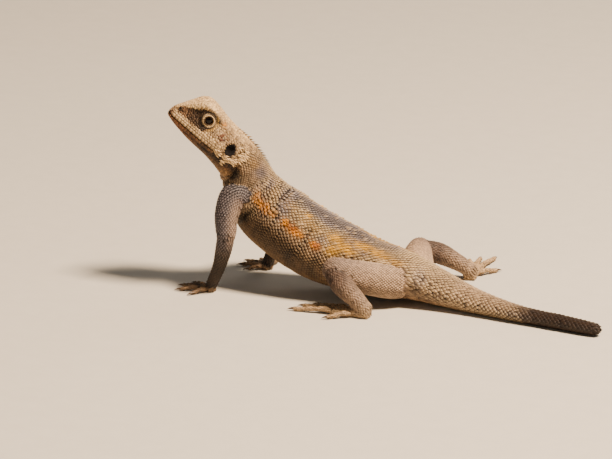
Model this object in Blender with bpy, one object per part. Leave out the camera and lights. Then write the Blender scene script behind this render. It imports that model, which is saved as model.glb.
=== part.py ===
"""A ground agama as a still museum model, life size, propped up on its forelegs.

The snout points to -X, the tail to +X, and the animal's left side faces -Y. Every size is in
millimetres and becomes metres when a mesh is made. The body is one long loft of cross-sections,
parted into head, neck, torso and three lengths of tail, and each leg is a loft parted at the
elbow or knee and at the wrist or ankle. Neighbouring nodes keep a gap of 0.3 mm.
"""
import math
import random

import bmesh
import bpy
from mathutils import Vector

MM = 0.001
GAP = 0.3
HALF_GAP = GAP / 2
MERGE = 0.000001
SLOPE_STEP = 0.02
BOX_CENTRE = Vector((1.25, 11.44, 0.0))

# Head: a frame with its origin at the snout tip, turned to face half away from the body's line.
SNOUT_TIP = Vector((-63.2, -15.4, 52.0))
HEAD_YAW = math.radians(24.0)
HEAD_PITCH = math.radians(36.4)
HEAD_LENGTH = 22.0
HEAD_RINGS = 24
HEAD_RING_CROWDING = 1.35
SAMPLES_PER_SPAN = 2

# Head sizes at each station, a distance behind the snout tip. Heights are over the line of the
# mouth, half widths are from the head's middle plane.
HEAD_STATIONS = (0, 0.5, 2, 4, 6, 8, 11, 15, 19, 22)
HEAD_SIZES = {
    "crown height": (1.4, 2.8, 4.8, 7.1, 9.1, 9.9, 9.3, 8.3, 7.7, 7.4),
    "brow half width": (0.4, 0.9, 1.7, 3.2, 4.8, 5.8, 6.2, 5.6, 5.1, 4.8),
    "brow height": (1.1, 2.3, 4.3, 6.5, 8.4, 9.1, 8.7, 7.5, 6.7, 6.2),
    "temple half width": (0.7, 1.3, 2.1, 3.1, 4.2, 5.1, 5.9, 6.7, 6.6, 6.2),
    "temple height": (0.6, 1.4, 2.9, 4.4, 5.7, 6.7, 6.8, 6.0, 5.0, 4.2),
    "cheek half width": (0.8, 1.6, 2.5, 3.6, 4.7, 5.7, 7.0, 8.2, 8.0, 7.1),
    "cheek height": (0.1, 0.5, 1.4, 2.1, 2.8, 3.3, 3.5, 3.3, 2.3, 1.2),
    "upper lip half width": (0.8, 1.7, 2.8, 4.0, 5.0, 6.0, 7.3, 8.3, 7.9, 6.9),
    "upper lip height": (-0.1, 0.2, 0.5, 0.5, 0.5, 0.5, 0.5, 0.6, 0.1, -1.2),
    "lower lip half width": (0.7, 1.4, 2.5, 3.6, 4.6, 5.5, 6.7, 7.6, 7.1, 6.0),
    "lower lip height": (-0.4, -0.6, -0.8, -0.85, -0.9, -1.0, -1.15, -1.4, -2.3, -3.4),
    "jaw half width": (0.4, 0.9, 1.5, 2.4, 3.2, 3.9, 4.6, 5.1, 4.7, 4.0),
    "jaw height": (-0.7, -1.0, -1.5, -1.9, -2.2, -2.5, -2.8, -3.2, -4.2, -5.2),
    "throat height": (-0.8, -1.1, -1.7, -2.2, -2.6, -3.0, -3.4, -3.9, -4.9, -6.0),
}

# Eyes, ears, nostrils and mouth, in the head's frame: behind the snout, to the side, over the mouth.
EYE_CENTRE = Vector((9.9, 4.0, 5.8))
EYE_RADIUS = 2.2
LID_RADIUS = 2.95
LID_OPENING = 1.25
LID_OPENING_DEPTHS = (0.6, 6.0)
EAR_CENTRE = Vector((19.9, 8.1, 2.9))
EAR_RADII = Vector((1.6, 1.9, 2.0))
NOSTRIL_CENTRE = Vector((2.0, 1.95, 3.0))
NOSTRIL_RADIUS = 0.45
MOUTH_CORNER = 17.2
MOUTH_HEIGHT = -0.1
MOUTH_GROOVE = 0.25
MOUTH_STEPS = 10
MOUTH_STEP_CROWDING = 1.6

# Spines: the crest down the nape and the tufts round each ear. A head tuft is placed behind the
# snout and over the mouth; a neck tuft at a body section and an angle from the middle of the back.
SPINE_SIDES = 5
SPINE_ROOT = 0.9
SPINE_ROOT_RADIUS = 0.6
CREST_LENGTH = 1.3
HEAD_CREST = (17.6, 18.9, 20.2, 21.4)
NECK_CREST = (-0.84, -0.6, -0.36, -0.1, 0.18, 0.46, 0.74, 1.02, 1.3)
TUFT_LENGTH = 1.7
TUFT_SPREAD = ((0.0, 0.0), (0.75, 0.25), (-0.7, 0.45), (0.35, -0.7), (-0.4, -0.65))
HEAD_TUFTS = ((20.2, -0.8), (17.9, 4.9))
NECK_TUFTS = ((-0.62, 82), (-0.5, 108), (0.1, 88))

# Body sections from the nape to the tail's end: x, y, z of the middle, half width, half height.
BODY_SECTIONS = (
    (-44.9, -6.4, 35.5, 6.6, 7.1),
    (-43.3, -5.0, 31.1, 7.1, 7.5),
    (-41.5, -4.0, 26.9, 8.6, 8.7),
    (-38.6, -3.1, 22.9, 10.0, 9.4),
    (-34.2, -2.5, 19.6, 10.9, 9.7),
    (-28.3, -2.0, 16.0, 11.7, 9.7),
    (-21.9, -1.5, 13.0, 12.2, 9.5),
    (-15.2, -1.0, 10.8, 12.0, 8.8),
    (-8.2, -0.5, 9.0, 11.0, 7.7),
    (-1.6, 0.0, 8.0, 9.9, 6.9),
    (4.8, 0.0, 7.0, 8.8, 6.1),
    (11.2, -0.5, 5.7, 7.2, 5.1),
    (18.8, -2.0, 4.4, 5.2, 4.3),
    (26.0, -3.5, 3.4, 4.0, 3.5),
    (33.0, -5.0, 2.8, 3.3, 2.9),
    (40.1, -6.5, 2.4, 2.7, 2.5),
    (46.8, -7.5, 2.2, 2.4, 2.3),
    (53.3, -8.5, 2.15, 2.3, 2.25),
    (59.8, -9.5, 2.0, 2.2, 2.1),
    (64.2, -10.2, 1.9, 1.9, 1.9),
)
RINGS_PER_SECTION = 2
SECTIONS_TO_OVAL = 1.6
BODY_CUTTER_PLACES = range(-1, 34)
NECK_END = 2.2
TORSO_END = 11.6
TAIL_BASE_END = 14.0
TAIL_MIDDLE_END = 16.5
TAIL_TIP_LENGTH = 1.1
TAIL_TIP_TURNS = (25, 50, 70, 85)

# Legs: x, y, z of the middle and the limb's radius, from inside the body to the wrist or ankle.
LIMB_SIDES = 16
LIMB_END_TURNS = (30, 55, 75)
LEGS = {
    "left_foreleg": {
        "upper": ((-40.0, -6.0, 28.0, 4.5), (-44.4, -10.8, 28.4, 4.2), (-45.7, -14.3, 23.8, 3.5),
                  (-45.2, -16.1, 18.4, 2.9)),
        "lower": ((-45.1, -16.0, 18.8, 2.6), (-45.9, -16.2, 13.8, 2.4), (-47.7, -15.5, 8.2, 1.95),
                  (-50.3, -14.3, 2.9, 1.7)),
        "toward": (-0.97, 0.05),
    },
    "right_foreleg": {
        "upper": ((-38.6, 0.0, 27.4, 4.5), (-41.2, 4.6, 27.0, 4.2), (-41.4, 9.4, 22.8, 3.5),
                  (-40.8, 12.2, 17.6, 2.9)),
        "lower": ((-40.7, 12.1, 18.0, 2.6), (-41.4, 12.9, 13.2, 2.4), (-43.1, 12.8, 7.8, 1.95),
                  (-44.8, 12.2, 2.9, 1.7)),
        "toward": (-0.88, 0.47),
    },
    "left_hindleg": {
        "upper": ((6.0, -2.0, 6.9, 4.6), (1.5, -7.0, 7.3, 4.9), (-5.8, -12.8, 9.5, 4.5),
                  (-11.4, -16.6, 11.8, 3.6)),
        "lower": ((-11.2, -17.0, 11.4, 3.1), (-8.2, -18.8, 8.5, 3.2), (-3.8, -19.7, 5.2, 2.6),
                  (-0.9, -20.0, 2.7, 2.2)),
        "toward": (-0.999, 0.04),
    },
    "right_hindleg": {
        "upper": ((6.5, 1.5, 6.9, 4.6), (4.0, 7.0, 7.3, 4.8), (0.8, 14.6, 8.6, 4.3),
                  (-1.6, 21.8, 8.8, 3.5)),
        "lower": ((-1.4, 22.0, 8.6, 3.0), (3.2, 24.8, 7.3, 3.1), (8.0, 26.2, 5.0, 2.5),
                  (12.0, 27.0, 2.7, 2.1)),
        "toward": (-0.18, 0.98),
    },
}

# Digits: where each leaves the sole (along, out to the body's far side), its angle out, its length.
HAND = {
    "sole": 3.6, "half width": 2.2, "thickness": 1.35, "digit radius": 0.72,
    "digits": ((1.2, -1.7, -62, 4.0), (3.0, -1.2, -28, 5.6), (3.5, 0.0, -3, 6.4),
               (3.0, 1.2, 24, 6.2), (1.4, 1.8, 60, 4.6)),
}
FOOT = {
    "sole": 9.2, "half width": 2.5, "thickness": 1.5, "digit radius": 0.82,
    "digits": ((6.6, -2.0, -38, 5.4), (8.4, -1.5, -15, 8.6), (9.1, -0.3, -4, 10.6),
               (8.6, 1.1, 9, 12.4), (3.6, 1.9, 40, 6.6)),
}
DIGIT_SIDES = 6
SOLE_SIDES = 12
CLAW_SIDES = 5
CLAW_LENGTH = 1.7
CLAW_RADIUS = 0.36
FLOOR_DIP = 0.12
FLOOR_REACH = 200.0

# Shapes along a digit and a sole: share of the length, then height and width as shares of their size.
DIGIT_SHAPE = ((0.0, 1.25, 1.0), (0.25, 1.7, 1.05), (0.42, 1.55, 0.85), (0.58, 1.35, 0.98),
               (0.75, 1.05, 0.8), (0.9, 0.88, 0.88), (1.0, 0.9, 0.55))
SOLE_SHAPE = ((-0.16, 0.5, 0.35), (-0.1, 0.95, 0.7), (0.05, 1.15, 0.85), (0.3, 1.0, 0.8),
              (0.65, 0.85, 0.95), (0.9, 0.75, 1.0), (1.05, 0.5, 0.8))
# A claw's shape: share of its length, drop in millimetres, width as a share of its radius.
CLAW_SHAPE = ((-0.5, 0.0, 1.08), (0.15, 0.0, 0.96), (0.6, 0.12, 0.6), (1.0, 0.42, 0.28))

# Colours: linear red, green, blue, then roughness.
SKIN = ("sandy scaled skin", (0.33, 0.24, 0.17), 0.75)
FLANK = ("grey-brown scaled skin", (0.24, 0.19, 0.16), 0.75)
TAIL_END = ("slate-brown scaled skin", (0.07, 0.055, 0.05), 0.7)
EYE = ("wet dark eye", (0.01, 0.008, 0.007), 0.08)


def hermite(knots, place):
    """A smooth curve through (place, value) knots, where a value is a number or a Vector."""
    last = len(knots) - 1
    i = 0
    while i < last - 1 and place > knots[i + 1][0]:
        i += 1

    def slope(j):
        a, b = max(j - 1, 0), min(j + 1, last)
        return (knots[b][1] - knots[a][1]) * (1.0 / (knots[b][0] - knots[a][0]))

    (p0, v0), (p1, v1) = knots[i], knots[i + 1]
    span = p1 - p0
    t = (place - p0) / span
    return (v0 * (2 * t ** 3 - 3 * t * t + 1) + slope(i) * (span * (t ** 3 - 2 * t * t + t))
            + v1 * (3 * t * t - 2 * t ** 3) + slope(i + 1) * (span * (t ** 3 - t * t)))


def head_axes():
    """The head's directions: back from the snout, out to the animal's left, and up."""
    ahead = Vector((-math.cos(HEAD_YAW), -math.sin(HEAD_YAW), 0))
    back = -ahead * math.cos(HEAD_PITCH) - Vector((0, 0, math.sin(HEAD_PITCH)))
    left = Vector((0, 0, 1)).cross(ahead)
    return back, left, left.cross(back)


BACK, LEFT, UP = head_axes()


def from_head(back, left, up):
    """A point of the head's frame in the model's own."""
    return SNOUT_TIP + BACK * back + LEFT * left + UP * up


def head_size(name, back):
    """One of the head's sizes at a distance behind the snout tip."""
    return hermite(list(zip(HEAD_STATIONS, HEAD_SIZES[name])), back)


def head_section(back, grow=0.0):
    """The closed outline of the head at a distance behind the snout, as (left, up) pairs."""
    size = {name: head_size(name, back) for name in HEAD_SIZES}
    half = [(0.0, size["crown height"])]
    for part in ("brow", "temple", "cheek", "upper lip", "lower lip", "jaw"):
        half.append((size[part + " half width"], size[part + " height"]))
    half.append((0.0, size["throat height"]))
    outline = half + [(-side, height) for side, height in reversed(half[1:-1])]
    middle = (size["crown height"] + size["throat height"]) / 2
    points = [Vector((side, height - middle)) for side, height in outline]
    if grow:
        points = [point * (1 + grow / point.length) for point in points]
    count = len(points)
    ring = []
    for i in range(count):
        window = [(j, points[(i + j) % count]) for j in (-1, 0, 1, 2)]
        for k in range(SAMPLES_PER_SPAN):
            ring.append(hermite(window, k / SAMPLES_PER_SPAN))
    return [point + Vector((0, middle)) for point in ring]


def head_ring(back, grow=0.0):
    return [from_head(back, point.x, point.y) for point in head_section(back, grow)]


def body_knots():
    """The body's middle line and half sizes, led in by two sections inside the head."""
    rows = []
    for place, back in ((-2.0, HEAD_LENGTH - 6.0), (-1.0, HEAD_LENGTH)):
        section = head_section(back)
        heights = [point.y for point in section]
        middle = (max(heights) + min(heights)) / 2
        half_width = max(point.x for point in section)
        rows.append((place, from_head(back, 0, middle), Vector((half_width, max(heights) - middle))))
    for i, (x, y, z, half_width, half_height) in enumerate(BODY_SECTIONS):
        rows.append((float(i), Vector((x, y, z)), Vector((half_width, half_height))))
    return [(row[0], row[1]) for row in rows], [(row[0], row[2]) for row in rows]


LINE_KNOTS, SIZE_KNOTS = body_knots()


def body_frame(place):
    """The body's middle, its left and its up at a place counted in sections from the nape."""
    ahead = hermite(LINE_KNOTS, place - SLOPE_STEP)
    behind = hermite(LINE_KNOTS, place + SLOPE_STEP)
    along = (behind - ahead).normalized()
    if place < 0:
        along = BACK.lerp(along, place + 1).normalized()
    left = Vector((0, 0, 1)).cross(-along)
    if place < 1:
        left = LEFT.lerp(left.normalized(), (place + 1) / 2)
    left = (left - along * left.dot(along)).normalized()
    return hermite(LINE_KNOTS, place), left, left.cross(along)


def body_ring(place, grow=0.0):
    """A cross-section of neck, torso or tail. It turns from the head's outline to an oval."""
    middle, left, up = body_frame(place)
    half = hermite(SIZE_KNOTS, place)
    outline = head_section(HEAD_LENGTH, grow)
    head_middle = (outline[0].y + outline[len(outline) // 2].y) / 2
    turned = min(1.0, (place + 1) / SECTIONS_TO_OVAL)
    count = len(outline)
    ring = []
    for i, point in enumerate(outline):
        angle = 2 * math.pi * i / count
        oval = Vector((math.sin(angle) * (half.x + grow), math.cos(angle) * (half.y + grow)))
        mixed = Vector((point.x, point.y - head_middle)).lerp(oval, turned)
        ring.append(middle + left * mixed.x + up * mixed.y)
    return ring


def limb_rings(path, sides, spacing=0.5, grow=0.0, round_end=False):
    """Round cross-sections along a limb, spaced in points of its path."""
    line = [(float(i), Vector(point[:3])) for i, point in enumerate(path)]
    thick = [(float(i), point[3]) for i, point in enumerate(path)]
    last = len(path) - 1
    count = round(last / spacing) + 1
    turns = [2 * math.pi * k / sides for k in range(sides)]
    rings = []
    side = None
    for i in range(count):
        place = last * i / (count - 1)
        along = (hermite(line, place + SLOPE_STEP) - hermite(line, place - SLOPE_STEP)).normalized()
        if side is None:
            side = along.orthogonal()
        side = (side - along * side.dot(along)).normalized()
        other = along.cross(side)
        radius = hermite(thick, place) + grow
        middle = hermite(line, place)
        rings.append([middle + (side * math.cos(t) + other * math.sin(t)) * radius for t in turns])
    if round_end:
        end = rings[-1]
        for turn in LIMB_END_TURNS:
            reach = radius * math.sin(math.radians(turn))
            width = math.cos(math.radians(turn))
            rings.append([middle + along * reach + (point - middle) * width for point in end])
    return rings


def mesh_object(name, points, faces):
    """A closed object of the given points in millimetres, with its faces pointing out."""
    mesh = bpy.data.meshes.new(name)
    mesh.from_pydata([(point - BOX_CENTRE) * MM for point in points], [], faces)
    shape = bmesh.new()
    shape.from_mesh(mesh)
    bmesh.ops.recalc_face_normals(shape, faces=shape.faces)
    shape.to_mesh(mesh)
    shape.free()
    item = bpy.data.objects.new(name, mesh)
    bpy.context.scene.collection.objects.link(item)
    return item


def loft(name, rings):
    """A closed skin over rings of equal count, with flat ends."""
    sides = len(rings[0])
    points = [point for ring in rings for point in ring]
    faces = [tuple(range(sides)), tuple(reversed(range(len(points) - sides, len(points))))]
    for i in range(len(rings) - 1):
        for j in range(sides):
            k = (j + 1) % sides
            faces.append((i * sides + j, i * sides + k, (i + 1) * sides + k, (i + 1) * sides + j))
    return mesh_object(name, points, faces)


def ball(name, middle, axes, radii, segments=20, rings=12):
    """An oval body with its poles along the last of three axes."""
    points = [middle - axes[2] * radii[2]]
    for i in range(1, rings):
        rise = math.pi * i / rings - math.pi / 2
        for j in range(segments):
            turn = 2 * math.pi * j / segments
            points.append(middle + axes[0] * (radii[0] * math.cos(rise) * math.cos(turn))
                          + axes[1] * (radii[1] * math.cos(rise) * math.sin(turn))
                          + axes[2] * (radii[2] * math.sin(rise)))
    points.append(middle + axes[2] * radii[2])
    top = len(points) - 1
    faces = []
    for j in range(segments):
        k = (j + 1) % segments
        faces.append((0, 1 + k, 1 + j))
        for i in range(rings - 2):
            low = 1 + i * segments
            high = low + segments
            faces.append((low + j, low + k, high + k, high + j))
        faces.append((top - segments + j, top - segments + k, top))
    return mesh_object(name, points, faces)


def discard(items):
    for item in items:
        bpy.data.objects.remove(item)


def combine(target, others, operation):
    """Joins other closed objects to the target, or cuts them from it, in one Boolean."""
    group = bpy.data.collections.new(operation.lower())
    bpy.context.scene.collection.children.link(group)
    for item in others:
        group.objects.link(item)
    change = target.modifiers.new(operation.lower(), "BOOLEAN")
    change.operation = operation
    change.operand_type = "COLLECTION"
    change.collection = group
    change.solver = "EXACT"
    graph = bpy.context.evaluated_depsgraph_get()
    mesh = bpy.data.meshes.new_from_object(target.evaluated_get(graph))
    target.modifiers.remove(change)
    target.data = mesh
    bpy.data.collections.remove(group)
    discard(others)
    keep_largest(target)
    return target


def keep_largest(item):
    """Leaves only the object's largest closed surface."""
    shape = bmesh.new()
    shape.from_mesh(item.data)
    bmesh.ops.triangulate(shape, faces=shape.faces)
    bmesh.ops.remove_doubles(shape, verts=shape.verts, dist=MERGE)
    bmesh.ops.dissolve_degenerate(shape, edges=shape.edges, dist=MERGE)
    bmesh.ops.triangulate(shape, faces=shape.faces)
    unseen = set(shape.verts)
    largest = set()
    while unseen:
        group = set()
        edge_of_group = [unseen.pop()]
        while edge_of_group:
            vertex = edge_of_group.pop()
            group.add(vertex)
            for edge in vertex.link_edges:
                other = edge.other_vert(vertex)
                if other in unseen:
                    unseen.discard(other)
                    edge_of_group.append(other)
        if len(group) > len(largest):
            largest = group
    bmesh.ops.delete(shape, geom=[v for v in shape.verts if v not in largest], context="VERTS")
    shape.to_mesh(item.data)
    shape.free()


def finish(item, look):
    """Gives an object its material and smooth shading with sharp edges kept."""
    name, colour, roughness = look
    material = bpy.data.materials.get(name) or bpy.data.materials.new(name)
    material.use_nodes = True
    shader = material.node_tree.nodes["Principled BSDF"]
    shader.inputs["Base Color"].default_value = (*colour, 1.0)
    shader.inputs["Roughness"].default_value = roughness
    shader.inputs["Metallic"].default_value = 0.0
    item.data.materials.clear()
    item.data.materials.append(material)
    item.data.shade_smooth()
    item.data.set_sharp_from_angle(angle=math.radians(50))


def inset(place, direction):
    """A place moved by half the gap along the body's middle line."""
    ahead = hermite(LINE_KNOTS, place - SLOPE_STEP)
    behind = hermite(LINE_KNOTS, place + SLOPE_STEP)
    return place + direction * HALF_GAP * (2 * SLOPE_STEP) / (behind - ahead).length


def section_places(start, end):
    """Places for body rings between two cuts, each drawn back by half the gap."""
    first, last = inset(start, 1), inset(end, -1)
    count = max(3, round((last - first) * RINGS_PER_SECTION) + 1)
    return [first + (last - first) * i / (count - 1) for i in range(count)]


def spine(root, out, lean, length):
    """A five-sided spine with its root sunk in the surface that it grows from."""
    foot = root - out * SPINE_ROOT
    tip = root + (out + lean).normalized() * length
    side = out.orthogonal()
    other = out.cross(side)
    turns = [2 * math.pi * k / SPINE_SIDES for k in range(SPINE_SIDES)]
    base = [foot + (side * math.cos(t) + other * math.sin(t)) * SPINE_ROOT_RADIUS for t in turns]
    faces = [tuple(range(SPINE_SIDES))]
    faces += [(k, (k + 1) % SPINE_SIDES, SPINE_SIDES) for k in range(SPINE_SIDES)]
    return mesh_object("spine", base + [tip], faces)


def tuft(root, out, along, across):
    """A few spines that fan out from one spot and lean back along the skin."""
    spines = []
    for step_along, step_across in TUFT_SPREAD:
        spot = root + along * step_along + across * step_across
        lean = along * random.uniform(0.8, 1.2) + across * (0.5 * step_across)
        spines.append(spine(spot, out, lean, TUFT_LENGTH * random.uniform(0.8, 1.1)))
    return spines


def head_spines():
    """The front of the nape's crest, and a tuft before and below each ear."""
    spines = []
    for back in HEAD_CREST:
        crown = head_size("crown height", back)
        length = CREST_LENGTH * random.uniform(0.7, 0.9)
        spines.append(spine(from_head(back, 0, crown), UP, BACK * 0.7, length))
    for back, height in HEAD_TUFTS:
        section = head_section(back)
        half_width = min((p for p in section if p.x > 0), key=lambda p: abs(p.y - height)).x
        for side in (1, -1):
            root = from_head(back, half_width * side, height)
            spines += tuft(root, (LEFT * side + UP * 0.1).normalized(), BACK, UP)
    return spines


def neck_spines():
    """The rest of the crest, and the tufts behind each ear."""
    spines = []
    for place in NECK_CREST:
        middle, left, up = body_frame(place)
        root = body_ring(place)[0]
        length = CREST_LENGTH * random.uniform(0.85, 1.1) * (1.0 - 0.25 * max(place, 0))
        spines.append(spine(root, up, up.cross(left) * 0.8, length))
    for place, angle in NECK_TUFTS:
        middle, left, up = body_frame(place)
        ring = body_ring(place)
        for side in (1, -1):
            root = ring[round(side * angle * len(ring) / 360) % len(ring)]
            out = (root - middle).normalized()
            spines += tuft(root, out, up.cross(left), up)
    return spines


def mouth_cutter():
    """A thin four-sided bar that runs round the snout from one corner of the mouth to the other."""
    side_points = []
    for i in range(MOUTH_STEPS + 1):
        back = MOUTH_CORNER * (i / MOUTH_STEPS) ** MOUTH_STEP_CROWDING + 0.04
        section = head_section(back)
        crossing = min((p for p in section if p.x > 0), key=lambda p: abs(p.y - MOUTH_HEIGHT))
        side_points.append((back, crossing.x))
    ring_points = [(back, side) for back, side in reversed(side_points)]
    ring_points += [(-0.05, 0.0)]
    ring_points += [(back, -side) for back, side in side_points]
    rings = []
    for i, (back, side) in enumerate(ring_points):
        before = ring_points[max(i - 1, 0)]
        after = ring_points[min(i + 1, len(ring_points) - 1)]
        along = Vector((after[0] - before[0], after[1] - before[1])).normalized()
        out = Vector((along.y, -along.x)) * MOUTH_GROOVE
        rings.append([from_head(back + out.x, side + out.y, MOUTH_HEIGHT),
                      from_head(back, side, MOUTH_HEIGHT + MOUTH_GROOVE),
                      from_head(back - out.x, side - out.y, MOUTH_HEIGHT),
                      from_head(back, side, MOUTH_HEIGHT - MOUTH_GROOVE)])
    return loft("mouth", rings)


def lid_opening(eye, out):
    """A short round bar that cuts the gap between the lids."""
    turns = [2 * math.pi * k / 16 for k in range(16)]
    outline = [eye + (BACK * math.cos(t) + UP * math.sin(t)) * LID_OPENING for t in turns]
    return loft("opening", [[point + out * depth for point in outline] for depth in LID_OPENING_DEPTHS])


def head_parts():
    """The head with its lids, ear cups, nostrils and mouth, and the two eyes."""
    last = HEAD_LENGTH - HALF_GAP
    shares = [i / (HEAD_RINGS - 1) for i in range(HEAD_RINGS)]
    head = loft("head", [head_ring(last * share ** HEAD_RING_CROWDING) for share in shares])
    lids = []
    cutters = [mouth_cutter()]
    eyes = []
    for name, side in (("eye_left", 1), ("eye_right", -1)):
        out = LEFT * side
        axes = (BACK, UP, out)
        eye = from_head(EYE_CENTRE.x, EYE_CENTRE.y * side, EYE_CENTRE.z)
        lids.append(ball("lid", eye, axes, (LID_RADIUS,) * 3, 20, 12))
        cutters.append(ball("socket", eye, axes, (EYE_RADIUS + GAP,) * 3, 16, 10))
        cutters.append(lid_opening(eye, out))
        ear = from_head(EAR_CENTRE.x, EAR_CENTRE.y * side, EAR_CENTRE.z)
        cutters.append(ball("ear cup", ear, axes, EAR_RADII, 16, 10))
        nostril = from_head(NOSTRIL_CENTRE.x, NOSTRIL_CENTRE.y * side, NOSTRIL_CENTRE.z)
        cutters.append(ball("nostril", nostril, axes, (NOSTRIL_RADIUS,) * 3, 8, 6))
        eyes.append(ball(name, eye, axes, (EYE_RADIUS,) * 3, 16, 10))
    combine(head, lids + head_spines(), "UNION")
    combine(head, cutters, "DIFFERENCE")
    finish(head, SKIN)
    for eye in eyes:
        finish(eye, EYE)


def trunk_parts():
    """Neck, torso and tail, one loft parted by thin cuts, with a rounded tail end."""
    lengths = (
        ("neck", -1.0, NECK_END, SKIN),
        ("torso", NECK_END, TORSO_END, FLANK),
        ("tail_base", TORSO_END, TAIL_BASE_END, FLANK),
        ("tail_middle", TAIL_BASE_END, TAIL_MIDDLE_END, FLANK),
    )
    for name, start, end, look in lengths:
        item = loft(name, [body_ring(place) for place in section_places(start, end)])
        if name == "neck":
            combine(item, neck_spines(), "UNION")
        finish(floor_cut(item), look)
    last = len(BODY_SECTIONS) - 1.0
    rings = [body_ring(place) for place in section_places(TAIL_MIDDLE_END, last)]
    middle, left, up = body_frame(last)
    along = up.cross(left)
    half = hermite(SIZE_KNOTS, last)
    for turn in TAIL_TIP_TURNS:
        centre = middle + along * (half.x * TAIL_TIP_LENGTH * math.sin(math.radians(turn)))
        width = math.cos(math.radians(turn))
        rings.append([centre + (point - middle) * width for point in body_ring(last)])
    finish(floor_cut(loft("tail_end", rings)), TAIL_END)


def floor_cut(item):
    """Takes off what reaches below the floor, which leaves small flats at one level."""
    if min(vertex.co.z for vertex in item.data.vertices) < 0:
        turns = ((-1, -1), (1, -1), (1, 1), (-1, 1))
        outline = [Vector((x, y, 0)) * FLOOR_REACH for x, y in turns]
        below = [point - Vector((0, 0, 5)) for point in outline]
        combine(item, [loft("floor", [below, outline])], "DIFFERENCE")
    return item


def digit(start, toward, length, radius, name):
    """A jointed digit that arches, comes down and ends in a claw."""
    path = []
    for share, height, width in DIGIT_SHAPE:
        spot = start + toward * (length * share)
        path.append((spot.x, spot.y, max(height * radius, radius * width - FLOOR_DIP), radius * width))
    toe = loft(name, limb_rings(path, DIGIT_SIDES, 1.0))
    tip = start + toward * length
    claw = []
    for share, drop, width in CLAW_SHAPE:
        spot = tip + toward * (CLAW_LENGTH * share)
        claw.append((spot.x, spot.y, radius * 0.95 - drop, CLAW_RADIUS * width))
    return [toe, loft(name + "_claw", limb_rings(claw, CLAW_SIDES, 1.0))]


def sole(name, leg, plan, ankle):
    """The palm or sole from the end of the limb to the roots of the digits, with its digits."""
    toward = Vector((*leg["toward"], 0)).normalized()
    side = 1 if name.startswith("left") else -1
    up = Vector((0, 0, 1))
    out = up.cross(toward) * side
    heel = Vector((ankle[0], ankle[1], 0))
    turns = [2 * math.pi * k / SOLE_SIDES for k in range(SOLE_SIDES)]
    rings = []
    for share, height, width in SOLE_SHAPE:
        half_width = max(plan["half width"] * width, ankle[3] * 0.9 if share < 0.2 else 0)
        half_height = plan["thickness"] * height
        middle = heel + toward * (plan["sole"] * share) + up * (half_height - FLOOR_DIP)
        across = out * half_width
        rings.append([middle + across * math.cos(t) + up * (half_height * math.sin(t)) for t in turns])
    base = loft(name, rings)
    pieces = [ball(name + "_joint", Vector(ankle[:3]), (toward, out, up), (ankle[3],) * 3, 14, 10)]
    for along, across, angle, length in plan["digits"]:
        turn = math.radians(angle)
        way = toward * math.cos(turn) + out * math.sin(turn)
        start = heel + toward * along + out * across
        pieces += digit(start, way, length, plan["digit radius"], name + "_digit")
    return base, pieces


def leg_parts(name, leg):
    """Upper leg, lower leg and hand or foot of one leg, each cut clear of the one above."""
    fore = name.endswith("foreleg")
    upper = loft(name + "_upper", limb_rings(leg["upper"], LIMB_SIDES, round_end=True))
    lower = loft(name + "_lower", limb_rings(leg["lower"], LIMB_SIDES))
    ankle = leg["lower"][-1]
    base, pieces = sole(name + ("_hand" if fore else "_foot"), leg, HAND if fore else FOOT, ankle)
    combine(base, pieces, "UNION")
    shin = loft("shin", limb_rings(leg["lower"], LIMB_SIDES, grow=GAP))
    combine(base, [shin], "DIFFERENCE")
    thigh = loft("thigh", limb_rings(leg["upper"], LIMB_SIDES, grow=GAP, round_end=True))
    combine(lower, [thigh], "DIFFERENCE")
    body = [body_ring(place / RINGS_PER_SECTION, GAP) for place in BODY_CUTTER_PLACES]
    combine(upper, [loft("body", body)], "DIFFERENCE")
    finish(floor_cut(upper), FLANK)
    finish(floor_cut(lower), FLANK)
    finish(floor_cut(base), SKIN)


def main():
    discard(list(bpy.data.objects))
    random.seed(7)
    head_parts()
    trunk_parts()
    for name, leg in LEGS.items():
        leg_parts(name, leg)


main()
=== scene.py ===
"""The looks of a ground agama, a still museum model at life size.

One skin covers all the flesh. Over it lie the scales, each a small solid shape that points along
the lie of the coat: to the tail on the trunk, to the toes on the legs. Skin and scales take their
markings from the same functions. Lengths are in millimetres until a mesh is made.
"""
import math
from itertools import product

import bmesh
import bpy
import numpy as np
from mathutils import Matrix, Vector
from mathutils.bvhtree import BVHTree
from mathutils.kdtree import KDTree


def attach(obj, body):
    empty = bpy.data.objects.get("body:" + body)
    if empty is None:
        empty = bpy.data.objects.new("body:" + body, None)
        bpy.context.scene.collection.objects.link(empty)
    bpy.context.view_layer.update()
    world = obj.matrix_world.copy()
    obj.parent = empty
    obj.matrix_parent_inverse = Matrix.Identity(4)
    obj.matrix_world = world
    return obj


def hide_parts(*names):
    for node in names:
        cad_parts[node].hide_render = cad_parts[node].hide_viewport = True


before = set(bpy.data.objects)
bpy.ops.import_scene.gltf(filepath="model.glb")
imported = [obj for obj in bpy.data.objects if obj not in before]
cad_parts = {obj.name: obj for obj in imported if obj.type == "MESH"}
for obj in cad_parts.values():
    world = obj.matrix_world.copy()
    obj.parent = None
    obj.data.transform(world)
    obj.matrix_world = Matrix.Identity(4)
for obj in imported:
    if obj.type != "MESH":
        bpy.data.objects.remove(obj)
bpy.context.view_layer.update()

MM = 0.001
# The place of the frame's origin among the lengths below, under the middle of the animal's box.
BOX_CENTRE = np.array((1.25, 11.44, 0.0))
WORLD_UP = np.array((0.0, 0.0, 1.0))
# How far before and after a place a curve is read for its direction.
STEP = 0.02
RANDOM = np.random.default_rng(11)

# The skin lies inside the solids' outline by the depth of the coat.
COAT_DEPTH = 0.3
LEG_COAT_DEPTH = 0.8 * COAT_DEPTH
FOOT_COAT_DEPTH = 0.12
VOXEL = 0.37

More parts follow.
